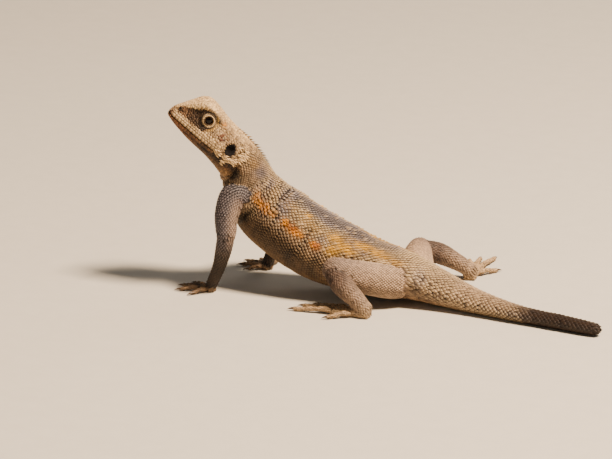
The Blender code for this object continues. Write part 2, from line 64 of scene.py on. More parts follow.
# Head: a frame with its origin at the snout tip, turned to face half away from the body's line.
SNOUT_TIP = np.array((-63.2, -15.4, 52.0))
HEAD_YAW = math.radians(24.0)
HEAD_PITCH = math.radians(36.4)
HEAD_LENGTH = 22.0

# Head sizes at each station behind the snout tip: heights over the mouth, half widths.
HEAD_STATIONS = (0, 0.5, 2, 4, 6, 8, 11, 15, 19, 22)
CROWN_HEIGHT = (1.4, 2.8, 4.8, 7.1, 9.1, 9.9, 9.3, 8.3, 7.7, 7.4)
THROAT_HEIGHT = (-0.8, -1.1, -1.7, -2.2, -2.6, -3.0, -3.4, -3.9, -4.9, -6.0)
HEAD_LINES = {
    "brow": ((0.4, 0.9, 1.7, 3.2, 4.8, 5.8, 6.2, 5.6, 5.1, 4.8),
             (1.1, 2.3, 4.3, 6.5, 8.4, 9.1, 8.7, 7.5, 6.7, 6.2)),
    "temple": ((0.7, 1.3, 2.1, 3.1, 4.2, 5.1, 5.9, 6.7, 6.6, 6.2),
               (0.6, 1.4, 2.9, 4.4, 5.7, 6.7, 6.8, 6.0, 5.0, 4.2)),
    "cheek": ((0.8, 1.6, 2.5, 3.6, 4.7, 5.7, 7.0, 8.2, 8.0, 7.1),
              (0.1, 0.5, 1.4, 2.1, 2.8, 3.3, 3.5, 3.3, 2.3, 1.2)),
    "upper lip": ((0.8, 1.7, 2.8, 4.0, 5.0, 6.0, 7.3, 8.3, 7.9, 6.9),
                  (-0.1, 0.2, 0.5, 0.5, 0.5, 0.5, 0.5, 0.6, 0.1, -1.2)),
    "lower lip": ((0.7, 1.4, 2.5, 3.6, 4.6, 5.5, 6.7, 7.6, 7.1, 6.0),
                  (-0.4, -0.6, -0.8, -0.85, -0.9, -1.0, -1.15, -1.4, -2.3, -3.4)),
    "jaw": ((0.4, 0.9, 1.5, 2.4, 3.2, 3.9, 4.6, 5.1, 4.7, 4.0),
            (-0.7, -1.0, -1.5, -1.9, -2.2, -2.5, -2.8, -3.2, -4.2, -5.2)),
}
# Places in the head's frame: behind the snout, to the side, over the mouth.
EYE = np.array((9.9, 4.0, 5.8))
EYE_RADIUS = 2.2
LID_RADIUS = 2.8
LID_OPENING = 1.15
EAR = np.array((19.9, 8.1, 2.9))
EAR_RADII = np.array((1.6, 1.9, 2.0))
# How far out the scales round the ear lie, in radii of its cup.
EAR_RIM = 1.3
NOSTRIL_BACK, NOSTRIL_UP = 2.0, 3.0
MOUTH_HEIGHT = -0.1
MOUTH_CORNER = 17.2

# Body sections from the nape to the tail's end: x, y, z of the middle, half width, half height.
BODY_SECTIONS = np.array((
    (-44.9, -6.4, 35.5, 6.6, 7.1), (-43.3, -5.0, 31.1, 7.1, 7.5), (-41.5, -4.0, 26.9, 8.6, 8.7),
    (-38.6, -3.1, 22.9, 10.0, 9.4), (-34.2, -2.5, 19.6, 10.9, 9.7), (-28.3, -2.0, 16.0, 11.7, 9.7),
    (-21.9, -1.5, 13.0, 12.2, 9.5), (-15.2, -1.0, 10.8, 12.0, 8.8), (-8.2, -0.5, 9.0, 11.0, 7.7),
    (-1.6, 0.0, 8.0, 9.9, 6.9), (4.8, 0.0, 7.0, 8.8, 6.1), (11.2, -0.5, 5.7, 7.2, 5.1),
    (18.8, -2.0, 4.4, 5.2, 4.3), (26.0, -3.5, 3.4, 4.0, 3.5), (33.0, -5.0, 2.8, 3.3, 2.9),
    (40.1, -6.5, 2.4, 2.7, 2.5), (46.8, -7.5, 2.2, 2.4, 2.3), (53.3, -8.5, 2.15, 2.3, 2.25),
    (59.8, -9.5, 2.0, 2.2, 2.1), (64.2, -10.2, 1.9, 1.9, 1.9)))
# Over how many sections the body turns from the head's outline to an oval.
SECTIONS_TO_OVAL = 1.6
BODY_END = 19.0
TAIL_TIP_LENGTH = 1.1

# Legs: x, y, z of the middle and the limb's radius, from inside the body to the wrist or ankle.
LEGS = {
    "left_foreleg": {
        "upper": ((-40.0, -6.0, 28.0, 4.5), (-44.4, -10.8, 28.4, 4.2), (-45.7, -14.3, 23.8, 3.5),
                  (-45.2, -16.1, 18.4, 2.9)),
        "lower": ((-45.1, -16.0, 18.8, 2.6), (-45.9, -16.2, 13.8, 2.4), (-47.7, -15.5, 8.2, 1.95),
                  (-50.3, -14.3, 2.9, 1.7)),
        "toward": (-0.97, 0.05, 0.0),
    },
    "right_foreleg": {
        "upper": ((-38.6, 0.0, 27.4, 4.5), (-41.2, 4.6, 27.0, 4.2), (-41.4, 9.4, 22.8, 3.5),
                  (-40.8, 12.2, 17.6, 2.9)),
        "lower": ((-40.7, 12.1, 18.0, 2.6), (-41.4, 12.9, 13.2, 2.4), (-43.1, 12.8, 7.8, 1.95),
                  (-44.8, 12.2, 2.9, 1.7)),
        "toward": (-0.88, 0.47, 0.0),
    },
    "left_hindleg": {
        "upper": ((6.0, -2.0, 6.9, 4.6), (1.5, -7.0, 7.3, 4.9), (-5.8, -12.8, 9.5, 4.5),
                  (-11.4, -16.6, 11.8, 3.6)),
        "lower": ((-11.2, -17.0, 11.4, 3.1), (-8.2, -18.8, 8.5, 3.2), (-3.8, -19.7, 5.2, 2.6),
                  (-0.9, -20.0, 2.7, 2.2)),
        "toward": (-0.999, 0.04, 0.0),
    },
    "right_hindleg": {
        "upper": ((6.5, 1.5, 6.9, 4.6), (4.0, 7.0, 7.3, 4.8), (0.8, 14.6, 8.6, 4.3),
                  (-1.6, 21.8, 8.8, 3.5)),
        "lower": ((-1.4, 22.0, 8.6, 3.0), (3.2, 24.8, 7.3, 3.1), (8.0, 26.2, 5.0, 2.5),
                  (12.0, 27.0, 2.7, 2.1)),
        "toward": (-0.18, 0.98, 0.0),
    },
}
# Digits: where each leaves the sole (along, out to the body's far side), its angle out, its length.
HAND = {
    "sole": 3.6, "half width": 2.2, "thickness": 1.35, "digit radius": 0.72,
    "digits": ((1.2, -1.7, -62, 4.0), (3.0, -1.2, -28, 5.6), (3.5, 0.0, -3, 6.4),
               (3.0, 1.2, 24, 6.2), (1.4, 1.8, 60, 4.6)),
}
FOOT = {
    "sole": 9.2, "half width": 2.5, "thickness": 1.5, "digit radius": 0.82,
    "digits": ((6.6, -2.0, -38, 5.4), (8.4, -1.5, -15, 8.6), (9.1, -0.3, -4, 10.6),
               (8.6, 1.1, 9, 12.4), (3.6, 1.9, 40, 6.6)),
}
# How deep the undersides of sole and digits press into the floor.
FLOOR_DIP = 0.12
# Shapes of digit and sole, from the body outward: share of the length, height, width.
DIGIT_SHAPE = ((0.0, 1.25, 1.0), (0.25, 1.7, 1.05), (0.42, 1.55, 0.85), (0.58, 1.35, 0.98),
               (0.75, 1.05, 0.8), (0.9, 0.88, 0.88), (1.0, 0.9, 0.55))
SOLE_SHAPE = ((-0.16, 0.5, 0.35), (-0.1, 0.95, 0.7), (0.05, 1.15, 0.85), (0.3, 1.0, 0.8),
              (0.65, 0.85, 0.95), (0.9, 0.75, 1.0), (1.05, 0.5, 0.8))
CLAW_LENGTH = 1.7
CLAW_RADIUS = 0.36
# Markings, each a share from 0 to 1 at every point of the skin and for every scale. Some also paint
# light and shade: the dark mark paints shade in places, the mark of hollows paints the shade in
# openings and creases, the warm, rust and yellow marks paint warm light in places, and the mark of
# the scales' pale tips paints a highlight on them.
MARKS = ("cool", "rose", "warm", "yellow", "rust", "dark", "pale", "hollow_shade", "fleck", "frost")


def unit(vectors):
    """Vectors of length 1 in the same directions."""
    return vectors / np.maximum(np.linalg.norm(vectors, axis=-1, keepdims=True), 1e-9)


def hermite(knots, values, places):
    """A smooth curve through values at knots, read at the given places, one row for each."""
    knots = np.asarray(knots, float)
    values = np.asarray(values, float).reshape(len(knots), -1)
    places = np.atleast_1d(np.asarray(places, float))
    last = len(knots) - 1
    i = np.searchsorted(knots[1:last], places, side="left")
    before = np.maximum(np.arange(last + 1) - 1, 0)
    after = np.minimum(np.arange(last + 1) + 1, last)
    slopes = (values[after] - values[before]) / (knots[after] - knots[before])[:, None]
    span = (knots[i + 1] - knots[i])[:, None]
    t = (places - knots[i])[:, None] / span
    return (values[i] * (2 * t ** 3 - 3 * t * t + 1) + slopes[i] * span * (t ** 3 - 2 * t * t + t)
            + values[i + 1] * (3 * t * t - 2 * t ** 3) + slopes[i + 1] * span * (t ** 3 - t * t))


def lengths_along(points):
    """How far along a line of points each of them lies."""
    return np.concatenate(([0], np.cumsum(np.linalg.norm(np.diff(points, axis=0), axis=1))))


def circle(count):
    """Evenly spaced angles round a circle."""
    return 2 * math.pi * np.arange(count) / count


def round_outline(turns, first, second):
    """Points of a circle with radius 1 in the plane of two directions."""
    return np.outer(np.cos(turns), first) + np.outer(np.sin(turns), second)


def head_axes():
    """The head's directions: back from the snout, out to the animal's left, and up."""
    ahead = np.array((-math.cos(HEAD_YAW), -math.sin(HEAD_YAW), 0.0))
    back = -ahead * math.cos(HEAD_PITCH) - WORLD_UP * math.sin(HEAD_PITCH)
    left = np.cross(WORLD_UP, ahead)
    return np.array((back, left, np.cross(left, back)))


HEAD_AXES = head_axes()
BACK, LEFT, UP = HEAD_AXES


def from_head(points):
    """Points given in the head's frame: back from the snout, to the left, up."""
    return SNOUT_TIP + np.asarray(points, float) @ HEAD_AXES


def to_half_head(points):
    """Points in the head's frame, those of the right side mirrored to the left."""
    local = (np.asarray(points, float) - SNOUT_TIP) @ HEAD_AXES.T
    local[:, 1] = np.abs(local[:, 1])
    return local


def head_line(values, backs):
    """One of the head's heights or half widths at distances behind the snout."""
    return hermite(HEAD_STATIONS, values, backs)[:, 0]


def head_sections(backs, grow, per_span):
    """Closed outlines of the head at distances behind the snout, as (left, up) pairs."""
    backs = np.atleast_1d(np.asarray(backs, float))
    crown, throat = head_line(CROWN_HEIGHT, backs), head_line(THROAT_HEIGHT, backs)
    half = [(0 * crown, crown)]
    half += [(head_line(widths, backs), head_line(heights, backs))
             for widths, heights in HEAD_LINES.values()]
    half.append((0 * crown, throat))
    outline = half + [(-side, height) for side, height in reversed(half[1:-1])]
    points = np.stack([np.stack(pair, -1) for pair in outline], 1)
    middle = ((crown + throat) / 2)[:, None]
    points[..., 1] -= middle
    points *= 1 + grow / np.linalg.norm(points, axis=-1, keepdims=True)
    before, after, beyond = (np.roll(points, shift, 1) for shift in (1, -1, -2))
    samples = []
    for k in range(per_span):
        t = k / per_span
        samples.append(points * (2 * t ** 3 - 3 * t * t + 1) + after * (3 * t * t - 2 * t ** 3)
                       + (after - before) / 2 * (t ** 3 - 2 * t * t + t)
                       + (beyond - points) / 2 * (t ** 3 - t * t))
    ring = np.stack(samples, 2).reshape(len(backs), -1, 2)
    ring[..., 1] += middle
    return ring


def head_rings(backs, grow, per_span):
    """The head's outlines as points in space."""
    sections = head_sections(backs, grow, per_span)
    along = np.broadcast_to(np.asarray(backs, float)[:, None, None], (*sections.shape[:2], 1))
    return from_head(np.concatenate((along, sections), -1))


def body_knots():
    """The body's middle line and half sizes, led in by two sections inside the head."""
    middles, halves = [], []
    for back in (HEAD_LENGTH - 6.0, HEAD_LENGTH):
        section = head_sections([back], 0.0, 2)[0]
        high, low = section[:, 1].max(), section[:, 1].min()
        middles.append(from_head((back, 0, (high + low) / 2)))
        halves.append((section[:, 0].max(), (high - low) / 2))
    places = np.arange(-2, len(BODY_SECTIONS))
    return places, np.vstack((middles, BODY_SECTIONS[:, :3])), np.vstack((halves, BODY_SECTIONS[:, 3:]))


PLACES, LINE, HALVES = body_knots()


def body_frames(places):
    """The body's middle, left, up and tail-ward directions at places counted from the nape."""
    along = unit(hermite(PLACES, LINE, places + STEP) - hermite(PLACES, LINE, places - STEP))
    lead = np.clip(places + 1, 0, 1)[:, None]
    along = unit(BACK * (1 - lead) + along * lead)
    left = unit(np.cross(WORLD_UP, -along))
    lead = np.clip((places + 1) / 2, 0, 1)[:, None]
    left = LEFT * (1 - lead) + left * lead
    left = unit(left - along * (left * along).sum(-1, keepdims=True))
    return hermite(PLACES, LINE, places), left, np.cross(left, along), along


def body_rings(places, grow, per_span):
    """Cross-sections of neck, torso and tail, which turn from the head's outline to an oval."""
    places = np.atleast_1d(np.asarray(places, float))
    middle, left, up, _ = body_frames(places)
    half = hermite(PLACES, HALVES, places) + grow
    outline = head_sections([HEAD_LENGTH], grow, per_span)[0]
    count = len(outline)
    outline = outline - (0, (outline[0, 1] + outline[count // 2, 1]) / 2)
    turn = circle(count)
    oval = np.stack((np.sin(turn) * half[:, :1], np.cos(turn) * half[:, 1:]), -1)
    turned = np.clip((places + 1) / SECTIONS_TO_OVAL, 0, 1)[:, None, None]
    mixed = outline * (1 - turned) + oval * turned
    return middle[:, None] + left[:, None] * mixed[..., :1] + up[:, None] * mixed[..., 1:]


def tail_tip_rings(grow, per_span):
    """The rounded end of the stumpy tail."""
    last = body_rings([BODY_END], grow, per_span)[0]
    middle, _, _, along = (row[0] for row in body_frames(np.array([BODY_END])))
    reach = (HALVES[-1, 0] + grow) * TAIL_TIP_LENGTH
    turns = np.radians((18, 36, 52, 66, 78, 86))[:, None, None]
    return middle + along * (reach * np.sin(turns)) + (last - middle) * np.cos(turns)


def limb_rings(path, sides, per_span, grow=0.0):
    """Round cross-sections along a limb's path, with a rounded end."""
    path = np.asarray(path, float)
    last = len(path) - 1
    knots = np.arange(last + 1)
    places = np.linspace(0, last, round(last * per_span) + 1)
    middles = hermite(knots, path[:, :3], places)
    along = unit(hermite(knots, path[:, :3], places + STEP) - hermite(knots, path[:, :3], places - STEP))
    radii = hermite(knots, path[:, 3], places)[:, 0] + grow
    turns = circle(sides)
    side = np.array(Vector(along[0]).orthogonal())
    rings = []
    for middle, way, radius in zip(middles, along, radii):
        side = unit(side - way * side.dot(way))
        rings.append(middle + radius * round_outline(turns, side, np.cross(way, side)))
    last_ring = rings[-1] - middle
    for turn in np.radians((22, 44, 64, 80)):
        rings.append(middle + way * radius * math.sin(turn) + last_ring * math.cos(turn))
    return np.array(rings)


def foot_plan(name):
    """A foot's outline rings, its digits' paths and its claws' roots."""
    leg = LEGS[name]
    plan = HAND if name.endswith("foreleg") else FOOT
    ankle = leg["lower"][-1]
    toward = unit(np.array(leg["toward"]))
    out = np.cross(WORLD_UP, toward) * (1 if name.startswith("left") else -1)
    heel = np.array((ankle[0], ankle[1], 0.0))
    turns = circle(20)
    rings = []
    for share, height, width in SOLE_SHAPE:
        half_width = max(plan["half width"] * width, ankle[3] * 0.9 if share < 0.2 else 0) - FOOT_COAT_DEPTH
        half_height = plan["thickness"] * height - FOOT_COAT_DEPTH
        middle = heel + toward * (plan["sole"] * share) + WORLD_UP * (plan["thickness"] * height - FLOOR_DIP)
        rings.append(middle + np.outer(np.cos(turns), out) * half_width
                     + np.outer(np.sin(turns), WORLD_UP) * half_height)
    digits, claws = [], []
    radius = plan["digit radius"]
    for along, across, angle, length in plan["digits"]:
        turn = math.radians(angle)
        way = toward * math.cos(turn) + out * math.sin(turn)
        start = heel + toward * along + out * across
        path = []
        for share, height, width in DIGIT_SHAPE:
            spot = start + way * (length * share)
            path.append((spot[0], spot[1], max(height * radius, radius * width - FLOOR_DIP), radius * width))
        digits.append(path)
        claws.append((start + way * length, way, radius))
    return np.array(rings), digits, claws


def linked(name, data):
    """A new object of the scene."""
    item = bpy.data.objects.new(name, data)
    bpy.context.scene.collection.objects.link(item)
    return item


def outward_mesh(name, points, faces):
    """A mesh whose faces all point out."""
    mesh = bpy.data.meshes.new(name)
    mesh.from_pydata(points, [], faces)
    shape = bmesh.new()
    shape.from_mesh(mesh)
    bmesh.ops.recalc_face_normals(shape, faces=shape.faces)
    shape.to_mesh(mesh)
    shape.free()
    return mesh


def to_frame(points):
    """Points in the frame's metres."""
    return (np.asarray(points, float) - BOX_CENTRE) * MM


def loft(name, rings):
    """A closed skin over rings of equal count, with flat ends."""
    count, sides = rings.shape[:2]
    total = count * sides
    faces = [tuple(range(sides)), tuple(reversed(range(total - sides, total)))]
    for i in range(count - 1):
        for j in range(sides):
            k = (j + 1) % sides
            faces.append((i * sides + j, i * sides + k, (i + 1) * sides + k, (i + 1) * sides + j))
    return linked(name, outward_mesh(name, to_frame(rings.reshape(-1, 3)).tolist(), faces))


def ball(name, middle, axes, radii, sides=32, count=20):
    """An oval body with its poles along the last of three axes."""
    axes = np.asarray(axes, float) * np.asarray(radii, float)[:, None]
    outline = round_outline(circle(sides), axes[0], axes[1])
    rings = [middle + math.cos(tilt) * outline + math.sin(tilt) * axes[2]
             for tilt in np.linspace(-88, 88, count) * math.pi / 180]
    return loft(name, np.array(rings))


def keep_result(item, change):
    """Gives an object the mesh that a modifier makes of it, and removes the modifier."""
    graph = bpy.context.evaluated_depsgraph_get()
    mesh = bpy.data.meshes.new_from_object(item.evaluated_get(graph))
    item.modifiers.remove(change)
    item.data = mesh


def combine(target, others, operation):
    """Joins other closed objects to the target, or cuts them from it."""
    for other in others:
        change = target.modifiers.new(operation.lower(), "BOOLEAN")
        change.operation = operation
        change.object = other
        change.solver = "EXACT"
        keep_result(target, change)
        bpy.data.objects.remove(other)


def join(name, items):
    """One object of several, under the given name."""
    bpy.ops.object.select_all(action="DESELECT")
    for item in items:
        item.select_set(True)
    bpy.context.view_layer.objects.active = items[0]
    if len(items) > 1:
        bpy.ops.object.join()
    items[0].name = name
    return items[0]


def read_rows(entries, key, width, kind=float):
    """A property of a mesh's points, edges or the like, one row for each."""
    flat = np.empty(len(entries) * width, kind)
    entries.foreach_get(key, flat)
    return flat.reshape(-1, width)


def set_on_points(mesh, name, values):
    """Gives each point of a mesh a number, or a vector where the values have columns."""
    values = np.ascontiguousarray(values)
    kind, key = ("FLOAT", "value") if values.ndim == 1 else ("FLOAT_VECTOR", "vector")
    mesh.attributes.new(name, kind, "POINT").data.foreach_set(key, values.ravel())


def move_points(item, points):
    """Puts an object's points, in metres, at new places."""
    item.data.vertices.foreach_set("co", points.ravel())
    item.data.update()


def mesh_arrays(mesh):
    """A mesh's points among the lengths above, its edges and its triangles."""
    mesh.calc_loop_triangles()
    return (read_rows(mesh.vertices, "co", 3) / MM + BOX_CENTRE, read_rows(mesh.edges, "vertices", 2, int),
            read_rows(mesh.loop_triangles, "vertices", 3, int))


def neighbour_means(points, edges):
    """For each point the mean of the points that share an edge with it."""
    degree = np.bincount(edges.ravel(), minlength=len(points))
    means = np.empty_like(points)
    for axis in range(points.shape[1]):
        means[:, axis] = (np.bincount(edges[:, 0], points[edges[:, 1], axis], len(points))
                          + np.bincount(edges[:, 1], points[edges[:, 0], axis], len(points)))
    return means / np.maximum(degree, 1)[:, None]


def smoothed(points, edges, steps):
    """Points moved toward the means of their neighbours, or away, by each step's share."""
    for step in steps:
        points = points + (neighbour_means(points, edges) - points) * step
    return points


def point_normals(points, triangles):
    """The skin's outward direction at each point."""
    a, b, c = (points[triangles[:, k]] for k in range(3))
    flat = np.cross(b - a, c - a)
    normals = np.zeros_like(points)
    for k in range(3):
        for axis in range(3):
            normals[:, axis] += np.bincount(triangles[:, k], flat[:, axis], len(points))
    return unit(normals)


def search_tree(points):
    """A tree that finds the nearest of the given points."""
    tree = KDTree(len(points))
    for i, point in enumerate(points):
        tree.insert(point, i)
    tree.balance()
    return tree


def waves(points, size, seed):
    """A smooth, irregular value between about -1 and 1 that changes over the given size."""
    draw = np.random.default_rng(seed)
    ways = unit(draw.normal(size=(9, 3))) * draw.uniform(0.7, 1.5, (9, 1))
    phases = draw.uniform(0, 2 * math.pi, 9)
    return np.sin(points @ ways.T * (math.pi / size) + phases).sum(-1) / 4.0


def bump(value, middle, width):
    """A soft bell of height 1 round a middle value."""
    return np.exp(-((value - middle) / width) ** 2)


def rise(value, start, end):
    """A smooth step from 0 at the start to 1 at the end."""
    t = np.clip((value - start) / (end - start), 0, 1)
    return t * t * (3 - 2 * t)


def plateau(value, start, full, fade, end):
    """A smooth step from 0 up to 1 and later back down to 0."""
    return rise(value, start, full) * (1 - rise(value, fade, end))


def build_charts():
    """The lofts that carry the scales: rings, and how far along each ring lies."""
    backs = np.linspace(0.3, HEAD_LENGTH, 80)
    places = np.linspace(-1, BODY_END, 401)
    charts = {
        "head": (head_rings(backs, -COAT_DEPTH, 8), backs),
        "body": (np.concatenate((body_rings(places, -COAT_DEPTH, 8), tail_tip_rings(-COAT_DEPTH, 8))),
                 np.append(places, BODY_END + 0.1 * np.arange(1, 7)))}
    limbs = {}
    for name, leg in LEGS.items():
        for part in ("upper", "lower"):
            limbs[f"{name}_{part}"] = limb_rings(leg[part], 48, 16, -LEG_COAT_DEPTH)
        limbs[name + "_sole"], digits, _ = foot_plan(name)
        for k, path in enumerate(digits):
            limbs[f"{name}_digit_{k}"] = limb_rings(path, 14, 6, -FOOT_COAT_DEPTH)
    for name, rings in limbs.items():
        charts[name] = (rings, np.linspace(0, 1, len(rings)))
    return charts


CHARTS = build_charts()
CHART_NAMES = list(CHARTS)


def is_part(chart, *words):
    """True for the charts whose name has one of the words."""
    return np.array([any(word in name for word in words) for name in CHART_NAMES])[chart]


def chart_angles(count):
    """Degrees round a ring, 0 at the middle of the back and positive to the animal's left."""
    return (np.arange(count) * 360.0 / count + 180) % 360 - 180


def build_skin():
    """One closed surface over head, trunk, tail, legs, soles and digits."""
    trunk = loft("skin", np.concatenate((
        head_rings(HEAD_LENGTH * np.linspace(0, 1, 44)[:-1] ** 1.3, -COAT_DEPTH, 5),
        body_rings(np.linspace(-1, BODY_END, 141), -COAT_DEPTH, 5), tail_tip_rings(-COAT_DEPTH, 5))))
    opening = round_outline(circle(24), BACK, UP) * LID_OPENING
    lids, cutters = [], []
    for side in (1, -1):
        out = LEFT * side
        axes = (BACK, UP, out)
        eye = from_head(EYE * (1, side, 1))
        lids.append(ball("lid", eye, axes, (LID_RADIUS,) * 3))
        cutters.append(loft("opening", np.array([eye + out * depth + opening for depth in (0.6, 6.0)])))
        cutters.append(ball("ear cup", from_head(EAR * (1, side, 1)), axes, EAR_RADII))
    combine(trunk, lids, "UNION")
    combine(trunk, cutters, "DIFFERENCE")
    parts = [trunk]
    for name, leg in LEGS.items():
        parts += [loft(part, limb_rings(leg[part], 28, 8, -LEG_COAT_DEPTH)) for part in ("upper", "lower")]
        rings, digits, _ = foot_plan(name)
        parts.append(loft("sole", rings))
        ankle = leg["lower"][-1]
        parts.append(ball("ankle", np.array(ankle[:3]), np.eye(3), (ankle[3] - FOOT_COAT_DEPTH,) * 3))
        parts += [loft("digit", limb_rings(path, 14, 4, -FOOT_COAT_DEPTH)) for path in digits]
    skin = join("skin", parts)
    remesh = skin.modifiers.new("one surface", "REMESH")
    remesh.mode = "VOXEL"
    remesh.voxel_size = VOXEL * MM
    keep_result(skin, remesh)
    return skin


def nearest_on_charts(points):
    """For each point the nearest chart, the place along it and the angle round it."""
    rows = []
    for index, (rings, places) in enumerate(CHARTS.values()):
        grid = np.empty((*rings.shape[:2], 6))
        grid[..., :3] = rings
        grid[..., 3] = index
        grid[..., 4] = places[:, None]
        grid[..., 5] = chart_angles(rings.shape[1])
        rows.append(grid.reshape(-1, 6))
    rows = np.concatenate(rows)
    tree = search_tree(rows[:, :3])
    found = rows[[tree.find(point)[1] for point in points]]
    return found[:, 3].astype(int), found[:, 4], found[:, 5]


# Folds of the skin on the body: place, angle, half length along, half width round, depth in mm,
# and how many sections the fold runs back for each degree down the side.
FOLDS = (
    (-0.35, 114, 0.19, 50, 1.25, 0.009), (0.9, 112, 0.15, 36, 0.35, 0.004),
    (1.75, 108, 0.12, 40, 0.35, 0.004), (2.35, 120, 0.2, 34, 0.6, 0.004),
    (0.25, 158, 0.16, 40, 0.5, 0.004), (-0.55, 150, 0.12, 50, 0.35, 0.0),
    (5.2, 118, 0.14, 28, 0.25, 0.004), (6.3, 112, 0.12, 30, 0.25, 0.004),
    (7.4, 115, 0.14, 28, 0.22, 0.004),
)


def fold_depths(place, angle):
    """How deep the folds are at places of the body."""
    depth = np.zeros(len(place))
    turn = np.abs(angle)
    for middle, across, half_length, half_width, amount, slant in FOLDS:
        line = middle + (turn - across) * slant
        depth += amount * bump(place, line, half_length) * bump(turn, across, half_width)
    return depth


def mouth_line(backs):
    """Points of the head's frame along the left side of the mouth."""
    sections = head_sections(backs, -COAT_DEPTH, 12)
    half = sections[:, : sections.shape[1] // 2]
    rows = np.arange(len(half))
    nearest = np.abs(half[..., 1] - MOUTH_HEIGHT).argmin(1)
    return np.stack((backs, half[rows, nearest, 0], np.full(len(backs), MOUTH_HEIGHT)), -1)


MOUTH = mouth_line(MOUTH_CORNER * np.linspace(0, 1, 60) ** 1.4)


def mouth_distance(local):
    """How far points of the half head are from the line of the mouth, 9 for all that are not near."""
    near = (local[:, 0] < MOUTH_CORNER + 1) & (np.abs(local[:, 2] - MOUTH_HEIGHT) < 2.0)
    distance = np.full(len(local), 9.0)
    distance[near] = np.linalg.norm(local[near][:, None] - MOUTH[None], axis=-1).min(1)
    return distance


# Blotches of the left side, repeated on the right, by their mark: place, angle, half length in
# sections, half width in degrees, how strong. Three of the dark ones are a painted shadow.
BLOTCHES = {
    "warm": ((1.7, 84, 0.38, 8, 0.95), (2.25, 76, 0.32, 8, 1.0), (2.8, 68, 0.32, 8, 1.0),
             (3.45, 62, 0.28, 7, 0.9), (4.3, 61, 0.22, 8, 0.9), (4.75, 61, 0.28, 9, 1.0),
             (5.15, 63, 0.2, 7, 0.85), (5.95, 66, 0.3, 8, 0.85)),
    "rust": ((2.4, 74, 0.5, 5, 0.3), (4.68, 60, 0.2, 5, 0.6), (6.0, 64, 0.16, 4, 0.6)),
    "yellow": ((6.55, 36, 0.32, 10, 0.75), (7.1, 48, 0.5, 11, 0.9), (6.7, 62, 0.35, 9, 0.85),
               (7.85, 26, 0.42, 10, 0.85), (8.65, 30, 0.45, 11, 0.85), (9.4, 40, 0.4, 12, 0.65),
               (7.3, 30, 0.5, 16, 0.35), (4.95, 26, 0.15, 5, 0.8), (-0.25, 52, 0.35, 14, 0.45),
               (5.4, 40, 0.6, 10, 0.32), (3.9, 34, 0.5, 12, 0.25), (0.9, 30, 0.5, 14, 0.2),
               (2.2, 46, 0.6, 14, 0.22)),
    "pale": ((9.0, 50, 0.3, 9, 0.5), (2.0, 33, 0.6, 15, 0.32), (0.6, 24, 0.6, 16, 0.2)),
    "cool": ((1.4, 42, 0.35, 14, 0.7), (3.7, 42, 0.35, 10, 0.75), (5.0, 6, 0.5, 9, 0.6),
             (5.9, 12, 0.5, 9, 0.6), (7.0, 8, 0.6, 8, 0.5), (0.4, 60, 0.35, 14, 0.5),
             (7.1, 38, 0.12, 5, 0.6), (7.9, 40, 0.12, 5, 0.6), (2.9, 30, 0.3, 10, 0.3)),
    # The first three dark blotches are a painted shadow along the top of the thigh.
    "dark": ((8.3, 60, 0.5, 4, 0.6), (9.0, 58, 0.5, 4, 0.7), (9.8, 55, 0.5, 5, 0.75), (3.4, 52, 0.35, 3, 0.3),
             (2.0, 70, 0.5, 3, 0.35)),
}
# Tufts of spines on each side: how far behind the snout and how high over the mouth in the head's
# frame, how many spines.
TUFTS = (
    (16.4, 0.3, 5), (17.4, -0.1, 5), (19.4, 0.2, 5), (20.4, 0.0, 6), (21.4, 0.1, 6), (22.7, 0.2, 7),
    (23.3, 2.6, 7), (21.7, 4.2, 4), (23.9, 1.6, 5), (21.1, 6.2, 3), (22.9, 5.6, 4), (23.9, 4.3, 4),
    (24.6, 3.2, 4), (19.6, -1.5, 4),
)
MASK_HEIGHT = 1.85
# The mask's upper edge: how far behind the snout, and how far under the brow's ridge.
MASK_EDGE = ((1.8, 0.4), (2.4, 0.5), (3.5, 1.25), (4.5, 1.55), (5.5, 1.9), (6.25, 1.7), (7.0, 1.0),
             (8.0, 0.7), (10.0, 0.2))


def tint(marks, where, **shares):
    """Adds shares of marks at the given places."""
    for mark, share in shares.items():
        marks[mark] += share * where


def oval(along, across, middles, halves):
    """A soft oval spot of height 1."""
    return np.exp(-((along - middles[0]) / halves[0]) ** 2 - ((across - middles[1]) / halves[1]) ** 2)


class HeadPlaces:
    """Where points lie on either side of the head: behind the snout, out, over the mouth and so on."""

    def __init__(self, points):
        self.points = points
        self.back, self.side, self.up = to_half_head(points).T
        self.over_brow = self.up - head_line(HEAD_LINES["brow"][1], np.clip(self.back, 0, HEAD_LENGTH))
        self.over_mask = self.over_brow + np.interp(self.back, *zip(*MASK_EDGE))
        self.from_eye = np.hypot(self.back - EYE[0], self.up - EYE[2])
        self.near_eye = rise(self.side, 3.4, 4.2)
        self.on_side = rise(self.side, 3, 4)


def crown_marks(marks, at):
    """The pale, speckled crown with painted warm sunlight on it, the yellow line along the brow and painted
    shade under the brow's ridge.
    """
    crown = (rise(at.over_mask, -0.1, 0.3) * (1 - rise(at.back, 11, 13))
             + rise(at.over_brow, -0.3, 0.6) * rise(at.back, 11, 13))
    # The crown's yellow: partly its own golden tone, partly painted warm sunlight on its top.
    marks["yellow"] += 0.3 * crown
    marks["pale"] += crown * (0.7 + 0.3 * rise(waves(at.points, 3.0, 6), -0.2, 0.9))
    marks["pale"] += 0.28 * rise(at.back, 11.5, 14) * rise(at.over_brow, -2.6, -0.6)
    marks["dark"] += 0.34 * crown * rise(waves(at.points, 0.9, 4), 0.3, 0.9)
    marks["frost"] -= 0.16 * crown
    brow = plateau(at.back, 3.5, 5.5, 11.5, 13.5)
    marks["pale"] += 0.35 * brow * bump(at.over_mask, 0.7, 0.7)
    marks["yellow"] += 0.5 * brow * bump(at.over_mask, 0.4, 0.7)
    # Painted shade under the brow's ridge.
    marks["dark"] += 0.5 * plateau(at.back, 8.0, 9.5, 12.2, 13.5) * bump(at.over_brow, -0.6, 0.6)


